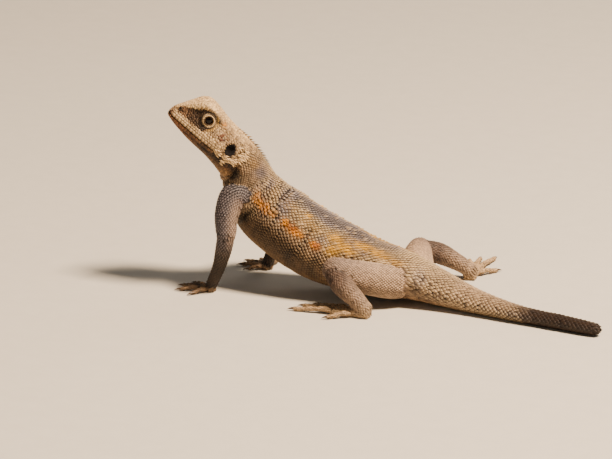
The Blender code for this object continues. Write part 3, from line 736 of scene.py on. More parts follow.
def mask_marks(marks, at):
    """The dark mask from the snout to the eye and under it, painted shade in the groove round the lids, and
    the rings behind the eye.
    """
    mask = (rise(at.back, 1.0, 2.2) * (1 - rise(at.over_mask, -0.25, 0.1))
            * rise(at.up, MASK_HEIGHT, MASK_HEIGHT + 0.3) * (1 - rise(at.back, 10.0, 11.5)))
    mask = rise(at.side, 0.8, 1.6) * mask
    floor = MASK_HEIGHT + np.clip(at.back - 9.3, 0, 4) * 1.1
    below = (rise(at.back, 8.5, 9.5) * (1 - rise(at.from_eye, 2.9, 3.5)) * rise(at.up, floor, floor + 0.4)
             * (1 - rise(at.up, 5.0, 6.0)))
    marks["rust"] += 0.3 * np.maximum(mask, below)
    marks["dark"] += mask * (0.58 + 0.33 * rise(at.back, 3.5, 6.0)) + 0.82 * below
    marks["frost"] *= 1 - 0.85 * np.maximum(mask, below)
    # Painted shade in the groove round the lids, over their dark scales.
    marks["dark"] += 0.75 * at.near_eye * bump(at.from_eye, 2.05, 0.26)
    behind = at.near_eye * rise(at.back, EYE[0] + 0.6, EYE[0] + 1.6)
    marks["yellow"] += 0.8 * behind * bump(at.from_eye, 2.6, 0.35)
    marks["dark"] += 0.6 * behind * bump(at.from_eye, 3.2, 0.3)


def cheek_marks(marks, at):
    """The mottled cheek: slanted dark lines, a pale patch under the eye and an orange spot."""
    cheek = rise(at.back, 11.5, 14) * rise(at.up, 0.8, 2.2) * (1 - rise(at.over_brow, -1.6, -0.4))
    tint(marks, cheek, cool=0.3, pale=0.16, yellow=0.12)
    marks["rose"] *= 1 - 0.5 * cheek
    marks["dark"] += cheek * (0.24 + 0.34 * rise(waves(at.points, 1.3, 23), 0.1, 0.9))
    slant = (2.04 * at.back - 2.76 * at.up) * 2 * math.pi / 4.2 + 0.6 * waves(at.points, 1.5, 5)
    lines = (rise(np.sin(slant), -0.3, 0.4)
             * np.clip(1.4 * bump(at.back, 15.7, 1.6) * bump(at.up, 4.1, 1.4), 0, 1))
    tint(marks, lines, rust=0.9, dark=0.4)
    under_eye = oval(at.back, at.up, (14.0, 5.5), (1.7, 0.9)) * at.on_side
    marks["pale"] += 0.4 * under_eye
    marks["dark"] *= 1 - 0.7 * under_eye
    spot = oval(at.back, at.up, (14.2, 7.3), (0.8, 0.75)) * at.on_side
    marks["warm"] += 0.85 * spot
    for mark in ("pale", "frost"):
        marks[mark] *= (1 - 0.9 * spot) * (1 - 0.97 * lines)


def jaw_marks(marks, at):
    """The lower jaw, blotted and darkened by painted shade, painted warm bounce light on jaw and throat, and
    painted shade along the jaw and under the tufts of the ear.
    """
    down = -at.up
    jaw = rise(down, 0.25, 0.6)
    blotted = 0.75 + 0.35 * waves(at.points, 2.6, 70)
    # Painted shade on the lower jaw, with blots of its own.
    marks["dark"] += 0.64 * jaw * blotted * (1 - 0.55 * rise(down, 3.0, 4.5))
    # Painted warm light bounced up onto the jaw.
    marks["rust"] += 0.55 * jaw * (1 - 0.5 * rise(at.back, 5, 12)) * (1 - rise(down, 2.0, 3.4))
    marks["warm"] += 0.2 * jaw * (1 - rise(down, 2.2, 3.6))
    marks["pale"] += 0.08 * rise(down, 2.4, 4.0)
    # Painted warm light bounced up onto the throat.
    marks["warm"] += 0.35 * rise(down, 1.5, 3.0) * rise(at.back, 14, 19)
    # Painted shade along the jaw under the tufts.
    marks["dark"] += 0.5 * jaw * bump(down, 1.7, 1.1) * rise(at.back, 9.5, 14)
    marks["frost"] *= 1 - 0.85 * jaw
    # Painted shade under and between the tufts' spines.
    for middle, height, _ in TUFTS:
        gap = (at.back - middle - 0.3) ** 2 + (at.up - height) ** 2
        marks["dark"] += 0.6 * np.exp(-gap / 0.7) * at.on_side


def lip_and_lid_marks(marks, at):
    """The pale band along the lips, the rusty tip of the snout, the pale lids with painted shade at their
    inner edge and a painted shadow of the brow on their top, and painted shade in the ear's hollow.
    """
    top = MASK_HEIGHT + 0.1 + 0.5 * np.clip(at.back - 9.3, 0, 2.4)
    band = (rise(at.up, -0.3, -0.05) * (1 - rise(at.up, top - 0.25, top + 0.1))
            * (1 - rise(at.back, 16.8, 18.5)))
    lids = (1 - rise(at.from_eye, 1.76, 1.9)) * at.near_eye
    for mark in marks:
        marks[mark] *= (1 - lids) * (1 - 0.85 * band)
    outer = rise(at.from_eye, 1.3, 1.4)
    # Painted shade at the lids' inner edge over their dark scales, and a painted shadow of the brow on their
    # top.
    marks["dark"] += 0.85 * lids * (1 - outer) + 0.45 * lids * rise(at.up, EYE[2] + 1.0, EYE[2] + 1.7)
    marks["pale"] += 0.95 * lids * outer + band * (0.8 + 0.4 * waves(at.points, 0.9, 40))
    marks["frost"] += 0.9 * lids * outer
    marks["frost"] += 0.5 * lids * rise(at.from_eye, 1.35, 1.45) + 0.25 * band
    marks["rose"] += 0.6 * band
    snout = 1 - rise(at.back + 0.5 * np.abs(at.up - 0.8), 0.9, 1.9)
    marks["pale"] *= 1 - 0.8 * snout
    tint(marks, snout, rust=0.5, dark=0.45)
    marks["yellow"] += lids * (0.26 + 0.26 * rise(at.back, EYE[0] + 0.4, EYE[0] + 1.6))
    hole = np.linalg.norm((np.stack((at.back, at.side, at.up), -1) - EAR) / EAR_RADII, axis=-1)
    # Painted shade inside the ear's cup.
    marks["hollow_shade"] += 1.0 - rise(hole, 1.16, 1.28)
    marks["pale"] += 0.5 * bump(hole, 1.5, 0.2) * rise(at.back - at.up, 16, 18.5)


def head_marks(marks, points):
    """The head's markings."""
    tint(marks, 1.0, rose=0.3, yellow=0.12, frost=0.36)
    at = HeadPlaces(points)
    for part_marks in (crown_marks, mask_marks, cheek_marks, jaw_marks, lip_and_lid_marks):
        part_marks(marks, at)


class BodyPlaces:
    """Where points lie on neck, trunk and tail, and how far they belong to each part."""

    def __init__(self, place, angle, points):
        self.place, self.turn, self.points = place, np.abs(angle), points
        self.belly = rise(self.turn, 118, 145)
        self.flank = (rise(self.turn, 66, 92) * (1 - self.belly) * rise(place, 1.7, 2.8)
                      * (1 - rise(place, 8.6, 10)))
        self.trunk = 1 - rise(place, 11.0, 13)
        self.neck = 1 - rise(place, 1.0, 3.0)
        self.back = (1 - rise(self.turn, 60, 85)) * self.trunk


def trunk_marks(marks, at):
    """The tones of back, flank, belly and neck, with painted shade on lower flank and belly and painted warm
    bounce light on them.
    """
    start = 4.7 + 0.9 * rise(at.turn, 88, 104)
    rear = rise(at.place, start, start + 1.4)
    before_hips = 1 - rise(at.place, 8.5, 10.5)
    mottled = rise(waves(at.points, 2.4, 21), 0.2, 0.9)
    clouded = rise(waves(at.points, 4.5, 3), 0.0, 0.9)
    marks["cool"] += 0.22 * at.trunk * (1 - at.belly) + 0.35 * at.back * clouded
    marks["rose"] += 0.4 * at.belly + 0.45 * (1 - at.trunk) + 0.25 * at.neck
    # The back's own grey mottling; on the lower flank painted shade over its grey-brown.
    marks["dark"] += (at.back * (0.44 + 0.26 * mottled) * (1 - 0.7 * rise(at.place, 8, 10))
                      + (0.76 - 0.4 * rear) * at.flank)
    marks["dark"] += at.neck * (1 - at.belly) * (0.16 + 0.3 * rise(at.turn, 70, 100))
    # Painted shade on the belly, whose own colour is pale, and painted warm light bounced up onto flank and
    # belly.
    marks["dark"] += 0.62 * at.belly * rise(at.place, 1.2, 2.6) * before_hips
    marks["warm"] += 0.16 * (at.flank + at.belly) * before_hips
    pale_tail = (1 - at.trunk) * (1 - 0.6 * rise(at.place, 11.5, 14.5)) * (1 - 0.6 * at.belly)
    pale_hips = bump(at.place, 9.8, 1.4) * (1 - rise(at.turn, 60, 90))
    marks["pale"] += 0.34 * pale_tail + 0.1 * at.belly + 0.3 * pale_hips
    marks["frost"] += (0.62 * at.back + (0.14 + 0.24 * rear) * at.flank + 0.34 * (1 - at.trunk)
                       + 0.1 * at.belly)


def ridge_and_shoulder_marks(marks, at):
    """The dark line of the back, the light cells beside it and the pale fold behind the arm."""
    ridge = bump(at.turn, 0, 22) * plateau(at.place, 2.8, 4.2, 8.5, 10)
    tint(marks, ridge, cool=0.5, dark=0.66)
    marks["frost"] *= 1 - 0.6 * ridge
    cells = bump(at.place, 5.1, 1.3) * bump(at.turn, 30, 20)
    tint(marks, cells, frost=0.26, yellow=0.25)
    marks["frost"] += 0.4 * at.neck * rise(at.turn, 60, 90)
    armpit = bump(at.place, 1.75, 0.5) * bump(at.turn, 106, 16)
    marks["pale"] += 0.2 * armpit
    marks["dark"] *= 1 - 0.5 * armpit


def blotch_marks(marks, at):
    """The blotches, each with a ragged edge, and the bright ones clear of what lies under them."""
    rough = 1.25 + 0.45 * waves(at.points, 1.4, 50)
    for mark, rows in BLOTCHES.items():
        for middle, across, half_length, half_width, amount in rows:
            spot = oval(at.place, at.turn, (middle, across), (half_length, half_width))
            ragged = np.clip(spot * rough, 0, 1)
            marks[mark] += amount * ragged
            if mark in ("warm", "yellow"):
                for under in ("dark", "frost", "pale"):
                    marks[under] *= np.clip(1 - 1.3 * amount * ragged, 0, 1)
            if mark == "cool":
                marks["frost"] *= 1 - 0.5 * amount * ragged


def tail_marks(marks, at):
    """The tail: checked above, dark below partly from painted shade, and nearly black at its healed end."""
    checks = rise(waves(at.points * (1.0, 1.6, 1.6), 1.2, 61), 0.1, 0.7)
    marks["dark"] += 0.2 * checks * (1 - rise(at.turn, 80, 110)) * rise(at.place, 9.5, 11.5)
    marks["frost"] += 0.45 * rise(at.place, 10, 12) * bump(at.turn, 88, 30)
    marks["cool"] += 0.4 * (1 - at.trunk) * (1 - at.belly)
    # Darker toward the underside: partly its own brown, partly painted shade.
    marks["dark"] += ((1 - at.trunk) * (0.14 + 0.52 * rise(at.turn, 70, 120))
                      + 0.3 * rise(at.place, 11.8, 14.5))
    end = rise(at.place + 0.3 * waves(at.points, 1.4, 30), 14.4, 15.9)
    for mark in ("rose", "pale", "frost"):
        marks[mark] *= 1 - 0.96 * end
    tint(marks, end, dark=0.98, cool=0.5)


def fold_marks(marks, at):
    """Painted shade in the folds of the skin, over their own darker skin, darkest where they are deepest."""
    fold = fold_depths(at.place, at.turn)
    marks["dark"] += np.clip(fold * 1.2, 0, 0.6)
    # Painted shade deep in the folds.
    marks["hollow_shade"] += 0.8 * rise(fold, 0.45, 0.95)


def body_marks(marks, place, angle, points):
    """The markings of neck, trunk and tail."""
    at = BodyPlaces(place, angle, points)
    for part_marks in (trunk_marks, ridge_and_shoulder_marks, blotch_marks, fold_marks, tail_marks):
        part_marks(marks, at)


def leg_marks(marks, name, place, points):
    """The markings of one part of a leg, with painted shade round the knee, on the hand and on the lower
    forearm, painted light on the foreleg's lit rear side and painted warm bounce light toward the wrist.
    """
    hind = "hind" in name
    lower = name.endswith("lower")
    speckle = rise(waves(points, 1.5, 13), -0.1, 0.8)
    blots = rise(waves(points, 1.9, 17), 0.1, 0.9)
    if "sole" in name or "digit" in name:
        # The hand is less pale and darker than the foot: painted shade.
        marks["pale"] += 0.42 if hind else 0.1
        marks["rose"] += 0.6
        marks["dark"] += (0.14 if hind else 0.26) * speckle + (0 if hind else 0.5)
        marks["frost"] += 0.3 if hind else 0.05
    elif hind:
        # Darker round the knee: painted shade where thigh, shin and belly meet, over its own speckled grey.
        knee = bump(place, 0.0 if lower else 1.0, 0.45)
        marks["rose"] += 0.72 - 0.2 * knee
        marks["cool"] += 0.5 + 0.2 * knee
        marks["pale"] += 0.24 - 0.2 * knee + (0.2 * rise(place, 0.7, 1.0) - 0.12 if lower else 0)
        marks["dark"] += 0.12 * blots + 0.44 * knee + (0.38 if lower else 0)
        marks["frost"] += 0.6 - 0.4 * knee - (0.3 if lower else 0)
    else:
        leg, part = name.rsplit("_", 1)
        path = np.array(LEGS[leg][part])
        middle = hermite(np.arange(len(path)), path, place * (len(path) - 1))
        # The rear side is lighter and pinker: partly the foreleg's own pale rear edge, partly painted light
        # on its lit side.
        rear = rise((points[:, 0] - middle[:, 0]) / middle[:, 3], 0.15, 0.95)
        rear *= 1 - rise(place, 0.05, 0.35) if lower else rise(place, 0.25, 0.5)
        # Toward the wrist less grey and more yellow, painted warm bounce light, and darker, painted shade.
        marks["cool"] += 0.95 - 0.3 * rear - (0.45 * rise(place, 0.1, 0.5) if lower else 0)
        marks["rose"] += 0.5 * rear
        marks["pale"] += 0.05 * rear
        marks["yellow"] += 0.15 * rise(place, 0.5, 1.0) if lower else 0
        marks["dark"] += ((0.58 + 0.24 * blots) * (1 - 0.55 * rear)
                          + (0.42 * rise(place, 0.0, 0.6) if lower else 0))
        marks["frost"] += 0.28 + 0.2 * rear - (0.24 * rise(place, 0.0, 0.6) if lower else 0)


def marks_on(name, place, angle, points):
    """The marks of points that lie on one chart."""
    marks = {mark: np.zeros(len(points)) for mark in MARKS}
    if name == "head":
        head_marks(marks, points)
    elif name == "body":
        body_marks(marks, place, angle, points)
        lead = 1 - rise(place, -0.9, 0.2)
        for mark, front in marks_on("head", place, angle, points).items():
            marks[mark] = marks[mark] * (1 - lead) + front * lead
    else:
        leg_marks(marks, name, place, points)
    return marks


def markings(chart, place, angle, points):
    """How strongly each mark colours each point."""
    columns = np.zeros((len(MARKS), len(points)))
    for index, name in enumerate(CHART_NAMES):
        here = chart == index
        if here.any():
            columns[:, here] = list(marks_on(name, place[here], angle[here], points[here]).values())
    return dict(zip(MARKS, np.clip(columns, 0, 1)))


# The distance between neighbouring scales on the parts of the legs, in millimetres.
LEG_SPACING = (("foreleg_upper", 0.9), ("hindleg_upper", 0.8), ("lower", 0.86), ("sole", 0.7),
               ("digit", 0.62))


def spacing_at(chart, place, angle, points):
    """The distance between neighbouring scales, in millimetres."""
    spacing = np.empty(len(points))
    turn = np.abs(angle)
    for index, name in enumerate(CHART_NAMES):
        here = chart == index
        if name == "head":
            back, side, up = to_half_head(points[here]).T
            fine = bump(np.hypot(back - EYE[0], up - EYE[2]), 2.2, 1.4) * rise(side, 3, 4)
            crown = (1 - rise(turn[here], 28, 46)) * rise(back, 3, 6)
            spacing[here] = (0.6 + 0.18 * rise(back, 2, 8)) * (1 - 0.25 * fine + 0.28 * crown)
        elif name == "body":
            along = place[here]
            wide = 0.8 + 0.42 * rise(along, 0.5, 3.5) - 0.1 * rise(along, 12, 15)
            armpit = bump(along, 1.75, 0.5) * bump(turn[here], 106, 16)
            flank = rise(turn[here], 62, 90) * rise(along, 1.5, 3.0) * (1 - rise(along, 9.5, 11.5))
            spacing[here] = wide * (1 - 0.26 * flank - 0.14 * armpit)
        else:
            spacing[here] = [size for part, size in LEG_SPACING if part in name][0]
    return spacing


def next_number(before, fitting):
    """How many scales a row gets: as many as the row before it, or two more or less."""
    if before is None:
        return fitting
    off = fitting / before - 1
    return before if abs(off) < 0.04 else before + (2 if off > 0 else -2)


def tube_roots(name, pitch, start, end):
    """Roots in rows round a tube, each row set between the scales of the one before: their spots,
    the way along the tube there, and their places and angles."""
    rings, places = CHARTS[name]
    index = CHART_NAMES.index(name)
    count, sides = rings.shape[:2]
    angles = chart_angles(sides)
    lengths = lengths_along(rings.mean(1))
    travelled, last = np.interp((start, end), places, lengths)
    rows, number = [], None
    while travelled < last:
        spot = np.interp(travelled, lengths, np.arange(count))
        i = min(int(spot), count - 2)
        ring = rings[i] * (i + 1 - spot) + rings[i + 1] * (spot - i)
        ahead = rings[min(i + 2, count - 1)] - rings[max(i - 1, 0)]
        place = np.interp(travelled, lengths, places)
        wanted = spacing_at(np.full(sides, index), np.full(sides, place), angles, ring)
        gaps = np.linalg.norm(np.roll(ring, -1, 0) - ring, axis=1) / wanted
        reach = np.concatenate(([0], np.cumsum(gaps)))
        number = next_number(number, 2 * round(reach[-1] / 2))
        targets = (np.arange(number) + 0.5 * (len(rows) % 2)) / number * reach[-1]
        where = np.interp(targets, reach, np.arange(sides + 1))
        low = where.astype(int) % sides
        high = (low + 1) % sides
        share = (where - where.astype(int))[:, None]
        rows.append((ring[low] * (1 - share) + ring[high] * share,
                     unit(ahead[low] * (1 - share) + ahead[high] * share),
                     np.full(number, place), (where * 360.0 / sides + 180) % 360 - 180))
        travelled += pitch * wanted[0]
    return [np.concatenate(column) for column in zip(*rows)]


# Steps of smoothing, inward and outward in turn, so that the skin keeps its size.
SMOOTHING = (0.5, -0.52) * 6
SOFTENING = (0.5,) * 5
# How much of the softening head, soles and digits get.
FIRM_SHARE = 0.12
# The groove along the closed mouth, in millimetres.
MOUTH_GROOVE = {"depth": 0.42, "half width": 0.34}


class Surface:
    """The finished skin, as what every scale is set on."""

    def __init__(self, item):
        points, edges, self.triangles = mesh_arrays(item.data)
        self.chart, self.place, self.angle = nearest_on_charts(points)
        points = smoothed(points, edges, SMOOTHING)
        share = np.where(is_part(self.chart, "head", "sole", "digit"), FIRM_SHARE, 1.0)[:, None]
        for _ in range(4):
            share = neighbour_means(share, edges)
        points = points * (1 - share) + smoothed(points, edges, SOFTENING) * share
        depth = np.where(is_part(self.chart, "body"), fold_depths(self.place, self.angle), 0)
        near_mouth = bump(mouth_distance(to_half_head(points)), 0, MOUTH_GROOVE["half width"])
        depth += MOUTH_GROOVE["depth"] * near_mouth
        points = points - point_normals(points, self.triangles) * depth[:, None]
        points[:, 2] = np.maximum(points[:, 2], 0.0)
        self.points, self.normals = points, point_normals(points, self.triangles)
        self.tree = BVHTree.FromPolygons(points.tolist(), self.triangles.tolist())
        move_points(item, (points - BOX_CENTRE) * MM)

    def out_of(self, faces):
        """The outward direction of triangles."""
        return unit(self.normals[self.triangles[faces]].mean(1))

    def where(self, faces):
        """Chart, place and angle of triangles."""
        corner = self.triangles[faces][:, 0]
        return self.chart[corner], self.place[corner], self.angle[corner]

    def snap(self, points):
        """The nearest spots on the skin, its normals there, how far off each point was, the triangles."""
        found = [self.tree.find_nearest(Vector(point)) for point in points]
        spots, _, faces, gaps = (np.array(column) for column in zip(*found))
        return spots, self.out_of(faces), gaps, faces

    def scatter(self, allowed, number):
        """Random spots on the allowed triangles, even over their area."""
        chosen = np.flatnonzero(allowed)
        corners = self.points[self.triangles[chosen]]
        areas = np.linalg.norm(np.cross(corners[:, 1] - corners[:, 0], corners[:, 2] - corners[:, 0]), axis=1)
        picks = RANDOM.choice(len(chosen), number, p=areas / areas.sum())
        mix = RANDOM.dirichlet((1, 1, 1), number)
        return (corners[picks] * mix[..., None]).sum(1), chosen[picks]


class Crowd:
    """Keeps scale roots apart, in cells of a grid."""

    CELL = 1.7

    def __init__(self):
        self.cells = {}

    def key(self, point):
        """The cell that a point lies in."""
        return tuple(int(math.floor(value / self.CELL)) for value in point)

    def add(self, point, room):
        """Takes in a root."""
        self.cells.setdefault(self.key(point), []).append((*point, room))

    def free(self, point, room, closeness):
        """True where no root stands nearer than a share of their mean room."""
        x, y, z = point
        for cell in product(*((n - 1, n, n + 1) for n in self.key(point))):
            for px, py, pz, other in self.cells.get(cell, ()):
                near = closeness * (room + other) / 2
                if (px - x) ** 2 + (py - y) ** 2 + (pz - z) ** 2 < near * near:
                    return False
        return True

    def admit(self, spots, room, allowed, closeness):
        """Takes in the allowed spots that have room enough, and gives their numbers."""
        chosen = []
        for i in np.flatnonzero(allowed):
            if self.free(spots[i], room[i], closeness):
                self.add(spots[i], room[i])
                chosen.append(i)
        return chosen


# Kinds of scale, and the columns of a table of scale roots.
SHIELD, GRANULE, PLATE, SPINE, TUFT_SPINE, CREST_SPINE = range(6)
SPOT, NORMAL, ALONG = slice(0, 3), slice(3, 6), slice(6, 9)
CHART, PLACE, ANGLE, ROOM, KIND = range(9, 14)


def root_rows(spots, normals, along, where, room, kind):
    """Rows of scale roots: spot, normal, direction, place on the charts, room and kind."""
    rows = np.empty((len(spots), 14))
    columns = (SPOT, NORMAL, ALONG, CHART, PLACE, ANGLE, ROOM, KIND)
    for column, values in zip(columns, (spots, normals, along, *where, room, kind)):
        rows[:, column] = values
    return rows


def bare(points):
    """True where no common scale grows: lids, ear openings, lips and nostrils."""
    local = to_half_head(points)
    back, side, up = local.T
    lids = (np.hypot(back - EYE[0], up - EYE[2]) < 2.45) & (side > 4.4) & (back < 13)
    ear = (((local - EAR) / (EAR_RADII * EAR_RIM)) ** 2).sum(-1) < 1
    reach = np.where(up > MOUTH_HEIGHT, 1.72, 1.46) - 0.75 * (1 - rise(back, 0.2, 1.5))
    lips = (back < MOUTH_CORNER) & (mouth_distance(local) < reach)
    nostril = (np.hypot(back - NOSTRIL_BACK, up - NOSTRIL_UP) < 0.62) & (side > 0.7)
    return (lids | ear | lips | nostril) & (back < 23)


# Tubes with rows of shields: chart, distance between rows over that between neighbours, first and
# last place.
TUBES = [("body", 0.6, -0.55, BODY_END + 0.5)]
TUBES += [(f"{leg}_{part}", 0.62, 0.02, 0.97) for leg in LEGS for part in ("lower", "upper")]
TUBES += [(f"{leg}_digit_{k}", 0.9, 0.1, 0.95) for leg in LEGS for k in range(5)]
# How far off the skin a row's spots may lie to be set on it, in millimetres.
ROW_REACH = 0.75
# How near roots may come, as a share of the mean of their rooms.
ROW_CLOSENESS, HEAD_CLOSENESS, GAP_CLOSENESS = 0.62, 0.8, 0.68
# The share of their room that plates and granules of lips, lids and ears keep for themselves.
OWN_SHARE = 0.8
# How many random spots are tried on the head, and on all skin for the gaps.
HEAD_TRIES, GAP_TRIES = 26000, 90000


def trunk_and_leg_roots(surface, crowd):
    """The rows of shields on neck, trunk, tail and legs."""
    blocks = []
    for name, pitch, start, end in TUBES:
        index = CHART_NAMES.index(name)
        tube_spots, along, place, angle = tube_roots(name, pitch, start, end)
        spots, normals, gaps, faces = surface.snap(tube_spots)
        room = spacing_at(np.full(len(spots), index), place, angle, spots)
        allowed = (gaps < ROW_REACH) & (surface.where(faces)[0] == index) & ~bare(spots)
        rows = root_rows(spots, normals, along, (index, place, angle), room, SHIELD)
        blocks.append(rows[crowd.admit(spots, room, allowed, ROW_CLOSENESS)])
    return blocks


def head_roots(surface, crowd):
    """Even, unordered scales over the head, each pointing back."""
    on_head = is_part(surface.chart[surface.triangles], "head").all(1)
    spots, faces = surface.scatter(on_head, HEAD_TRIES)
    room = spacing_at(*surface.where(faces), spots)
    open_skin = ~bare(spots)
    chosen = crowd.admit(spots, room, open_skin, HEAD_CLOSENESS)
    centres, samples = spots[chosen], spots[open_skin]
    for _ in range(3):
        tree = search_tree(centres)
        owner = np.array([tree.find(sample)[1] for sample in samples])
        totals = np.stack([np.bincount(owner, samples[:, axis], len(centres)) for axis in range(3)], -1)
        share = np.bincount(owner, minlength=len(centres))[:, None]
        centres = np.where(share > 0, totals / np.maximum(share, 1), centres)
    centres, normals, _, _ = surface.snap(centres)
    return root_rows(centres, normals, BACK, surface.where(faces[chosen]), room[chosen] * 1.04, GRANULE)


def gap_roots(surface, crowd, table):
    """Small scales wherever the others leave skin bare, each like its nearest neighbour."""
    spots, faces = surface.scatter(np.ones(len(surface.triangles), bool), GAP_TRIES)
    room = spacing_at(*surface.where(faces), spots) * 0.8
    chosen = crowd.admit(spots, room, ~bare(spots), GAP_CLOSENESS)
    spots, faces = spots[chosen], faces[chosen]
    tree = search_tree(table[:, SPOT])
    nearest = table[[tree.find(spot)[1] for spot in spots]]
    kind = np.where(nearest[:, KIND] == SHIELD, SHIELD, GRANULE)
    return root_rows(spots, surface.out_of(faces), nearest[:, ALONG], surface.where(faces),
                     room[chosen] * 1.1, kind)


def solid_shape(name, rows, front=None, rear=None):
    """A small closed shape for repeating. Rows run front to rear: x, half width, then the heights
    of its edge, its shoulder and its keel. The optional tips are (x, height) points."""
    points, rim = [], []
    for x, half, edge, shoulder, keel in rows:
        points += [(x, -half, edge), (x, -half * 0.55, shoulder), (x, 0, keel), (x, half * 0.55, shoulder),
                   (x, half, edge)]
        rim += [1, 0, 0, 0, 1]
    faces = []
    last = 5 * (len(rows) - 1)
    for start in range(0, last, 5):
        for k in range(4):
            faces.append((start + k, start + 5 + k, start + 6 + k, start + 1 + k))
        faces.append((start, start + 4, start + 9, start + 5))
    for tip, base, forward in ((front, 0, True), (rear, last, False)):
        ring = [base + k for k in range(5)]
        if tip is None:
            faces.append(tuple(ring if forward else reversed(ring)))
            continue
        points.append((tip[0], 0, tip[1]))
        rim.append(1)
        top = len(points) - 1
        for a, b in zip(ring, ring[1:] + ring[:1]):
            faces.append((top, a, b) if forward else (top, b, a))
    return shape_mesh(name, points, faces, rim)


def turned_shape(name, rings, sides, tip):
    """A closed round shape: rings of (radius, height, lean towards the rear), then its tip."""
    points = [(radius * math.cos(turn) + lean, radius * math.sin(turn), height)
              for radius, height, lean in rings for turn in circle(sides)]
    points.append((tip[1], 0, tip[0]))
    rim = [1] * sides + [0] * (len(points) - sides)
    faces = [tuple(reversed(range(sides)))]
    for start in range(0, (len(rings) - 1) * sides, sides):
        for k in range(sides):
            n = (k + 1) % sides
            faces.append((start + k, start + n, start + sides + n, start + sides + k))
    start = (len(rings) - 1) * sides
    faces += [(start + k, start + (k + 1) % sides, len(points) - 1) for k in range(sides)]
    return shape_mesh(name, points, faces, rim)


def shape_mesh(name, points, faces, rim):
    """A shape to repeat. Its points know how near the tip and the rim they are, and their patch."""
    mesh = outward_mesh(name, points, faces)
    points = np.array(points, float)
    span = np.ptp(points[:, 0])
    set_on_points(mesh, "tip", (points[:, 0] - points[:, 0].min()) / span)
    set_on_points(mesh, "rim", np.array(rim, float))
    set_on_points(mesh, "local", points * (1, 1, 0) / span)
    return linked(name, mesh)


def make_shapes():
    """The shape of each kind of scale, one unit long and wide."""
    shield = solid_shape("keeled shield", (
        (-0.34, 0.30, -0.14, 0.06, 0.12), (-0.06, 0.50, -0.08, 0.15, 0.30),
        (0.26, 0.44, 0.02, 0.24, 0.44), (0.50, 0.20, 0.14, 0.30, 0.54)), (-0.56, -0.14), (0.70, 0.50))
    granule = turned_shape("granule", (
        (0.50, -0.20, 0.0), (0.49, 0.05, 0.0), (0.38, 0.28, 0.02), (0.19, 0.42, 0.06)), 7, (0.46, 0.10))
    plate = solid_shape("lip plate", (
        (-0.50, 0.36, -0.16, 0.02, 0.04), (-0.40, 0.46, -0.06, 0.18, 0.22), (0.0, 0.50, -0.04, 0.22, 0.28),
        (0.40, 0.46, -0.06, 0.20, 0.24), (0.50, 0.36, -0.16, 0.04, 0.06)))
    spine = turned_shape("spine", (
        (0.50, -0.30, -0.1), (0.42, 0.15, 0.0), (0.30, 0.50, 0.12), (0.15, 0.85, 0.30)), 7, (1.12, 0.52))
    return {SHIELD: shield, GRANULE: granule, PLATE: plate,
            SPINE: spine, TUFT_SPINE: spine, CREST_SPINE: spine}


def feed(tree, node, inputs):
    """Sets a node's inputs by name or number, or links them to other nodes."""
    for key, value in inputs.items():
        if isinstance(value, bpy.types.NodeSocket):
            tree.links.new(value, node.inputs[key])
        else:
            node.inputs[key].default_value = value


def add(tree, kind, inputs=None, **settings):
    """Adds a node with its settings and inputs."""
    node = tree.nodes.new(kind)
    for name, value in settings.items():
        setattr(node, name, value)
    feed(tree, node, inputs or {})
    return node


def repeat_tree():
    """Geometry Nodes that set one shape on every root point, turned and sized by the root."""
    tree = bpy.data.node_groups.new("set shapes on roots", "GeometryNodeTree")
    tree.interface.new_socket("Geometry", in_out="INPUT", socket_type="NodeSocketGeometry")
    tree.interface.new_socket("Shape", in_out="INPUT", socket_type="NodeSocketObject")
    tree.interface.new_socket("Finish", in_out="INPUT", socket_type="NodeSocketMaterial")
    tree.interface.new_socket("Geometry", in_out="OUTPUT", socket_type="NodeSocketGeometry")
    given = add(tree, "NodeGroupInput").outputs
    shape = add(tree, "GeometryNodeObjectInfo", {"Object": given["Shape"]})
    turn = add(tree, "GeometryNodeInputNamedAttribute", {"Name": "turn"}, data_type="FLOAT_VECTOR")
    size = add(tree, "GeometryNodeInputNamedAttribute", {"Name": "size"}, data_type="FLOAT_VECTOR")
    rotation = add(tree, "FunctionNodeEulerToRotation", {"Euler": turn.outputs["Attribute"]})
    placed = add(tree, "GeometryNodeInstanceOnPoints", {
        "Points": given["Geometry"], "Instance": shape.outputs["Geometry"],
        "Rotation": rotation.outputs[0], "Scale": size.outputs["Attribute"]})
    real = add(tree, "GeometryNodeRealizeInstances", {"Geometry": placed.outputs["Instances"]})
    finished = add(tree, "GeometryNodeSetMaterial", {
        "Geometry": real.outputs[0], "Material": given["Finish"]})
    add(tree, "NodeGroupOutput", {"Geometry": finished.outputs[0]})
    return tree


def turns_of(normals, along, tilts):
    """Euler turns that lay a shape's x along the coat and its z out of the skin."""
    along = unit(along - normals * (along * normals).sum(-1, keepdims=True))
    lift = np.radians(tilts)[:, None]
    x = along * np.cos(lift) + normals * np.sin(lift)
    z = normals * np.cos(lift) - along * np.sin(lift)
    y = np.cross(z, x)
    return np.stack((np.arctan2(y[:, 2], z[:, 2]), -np.arcsin(np.clip(x[:, 2], -1, 1)),
                     np.arctan2(x[:, 1], x[:, 0])), -1)


def set_shapes(name, shape, tree, material, spots, values):
    """A mesh object with one copy of the shape on each root."""
    mesh = bpy.data.meshes.new(name)
    mesh.from_pydata(to_frame(spots).tolist(), [], [])
    for key, column in values.items():
        set_on_points(mesh, key, column)
    item = linked(name, mesh)
    change = item.modifiers.new("scales", "NODES")
    change.node_group = tree
    given = {"Shape": shape, "Finish": material}
    for socket in tree.interface.items_tree:
        if socket.name in given:
            change[socket.identifier] = given[socket.name]
    keep_result(item, change)
    for unused in ("turn", "size"):
        if unused in item.data.attributes:
            item.data.attributes.remove(item.data.attributes[unused])
    return item


def keep_on_floor(item):
    """Presses flat whatever would reach under the floor."""
    points = read_rows(item.data.vertices, "co", 3)
    points[:, 2] = np.maximum(points[:, 2], 0.0)
    move_points(item, points)


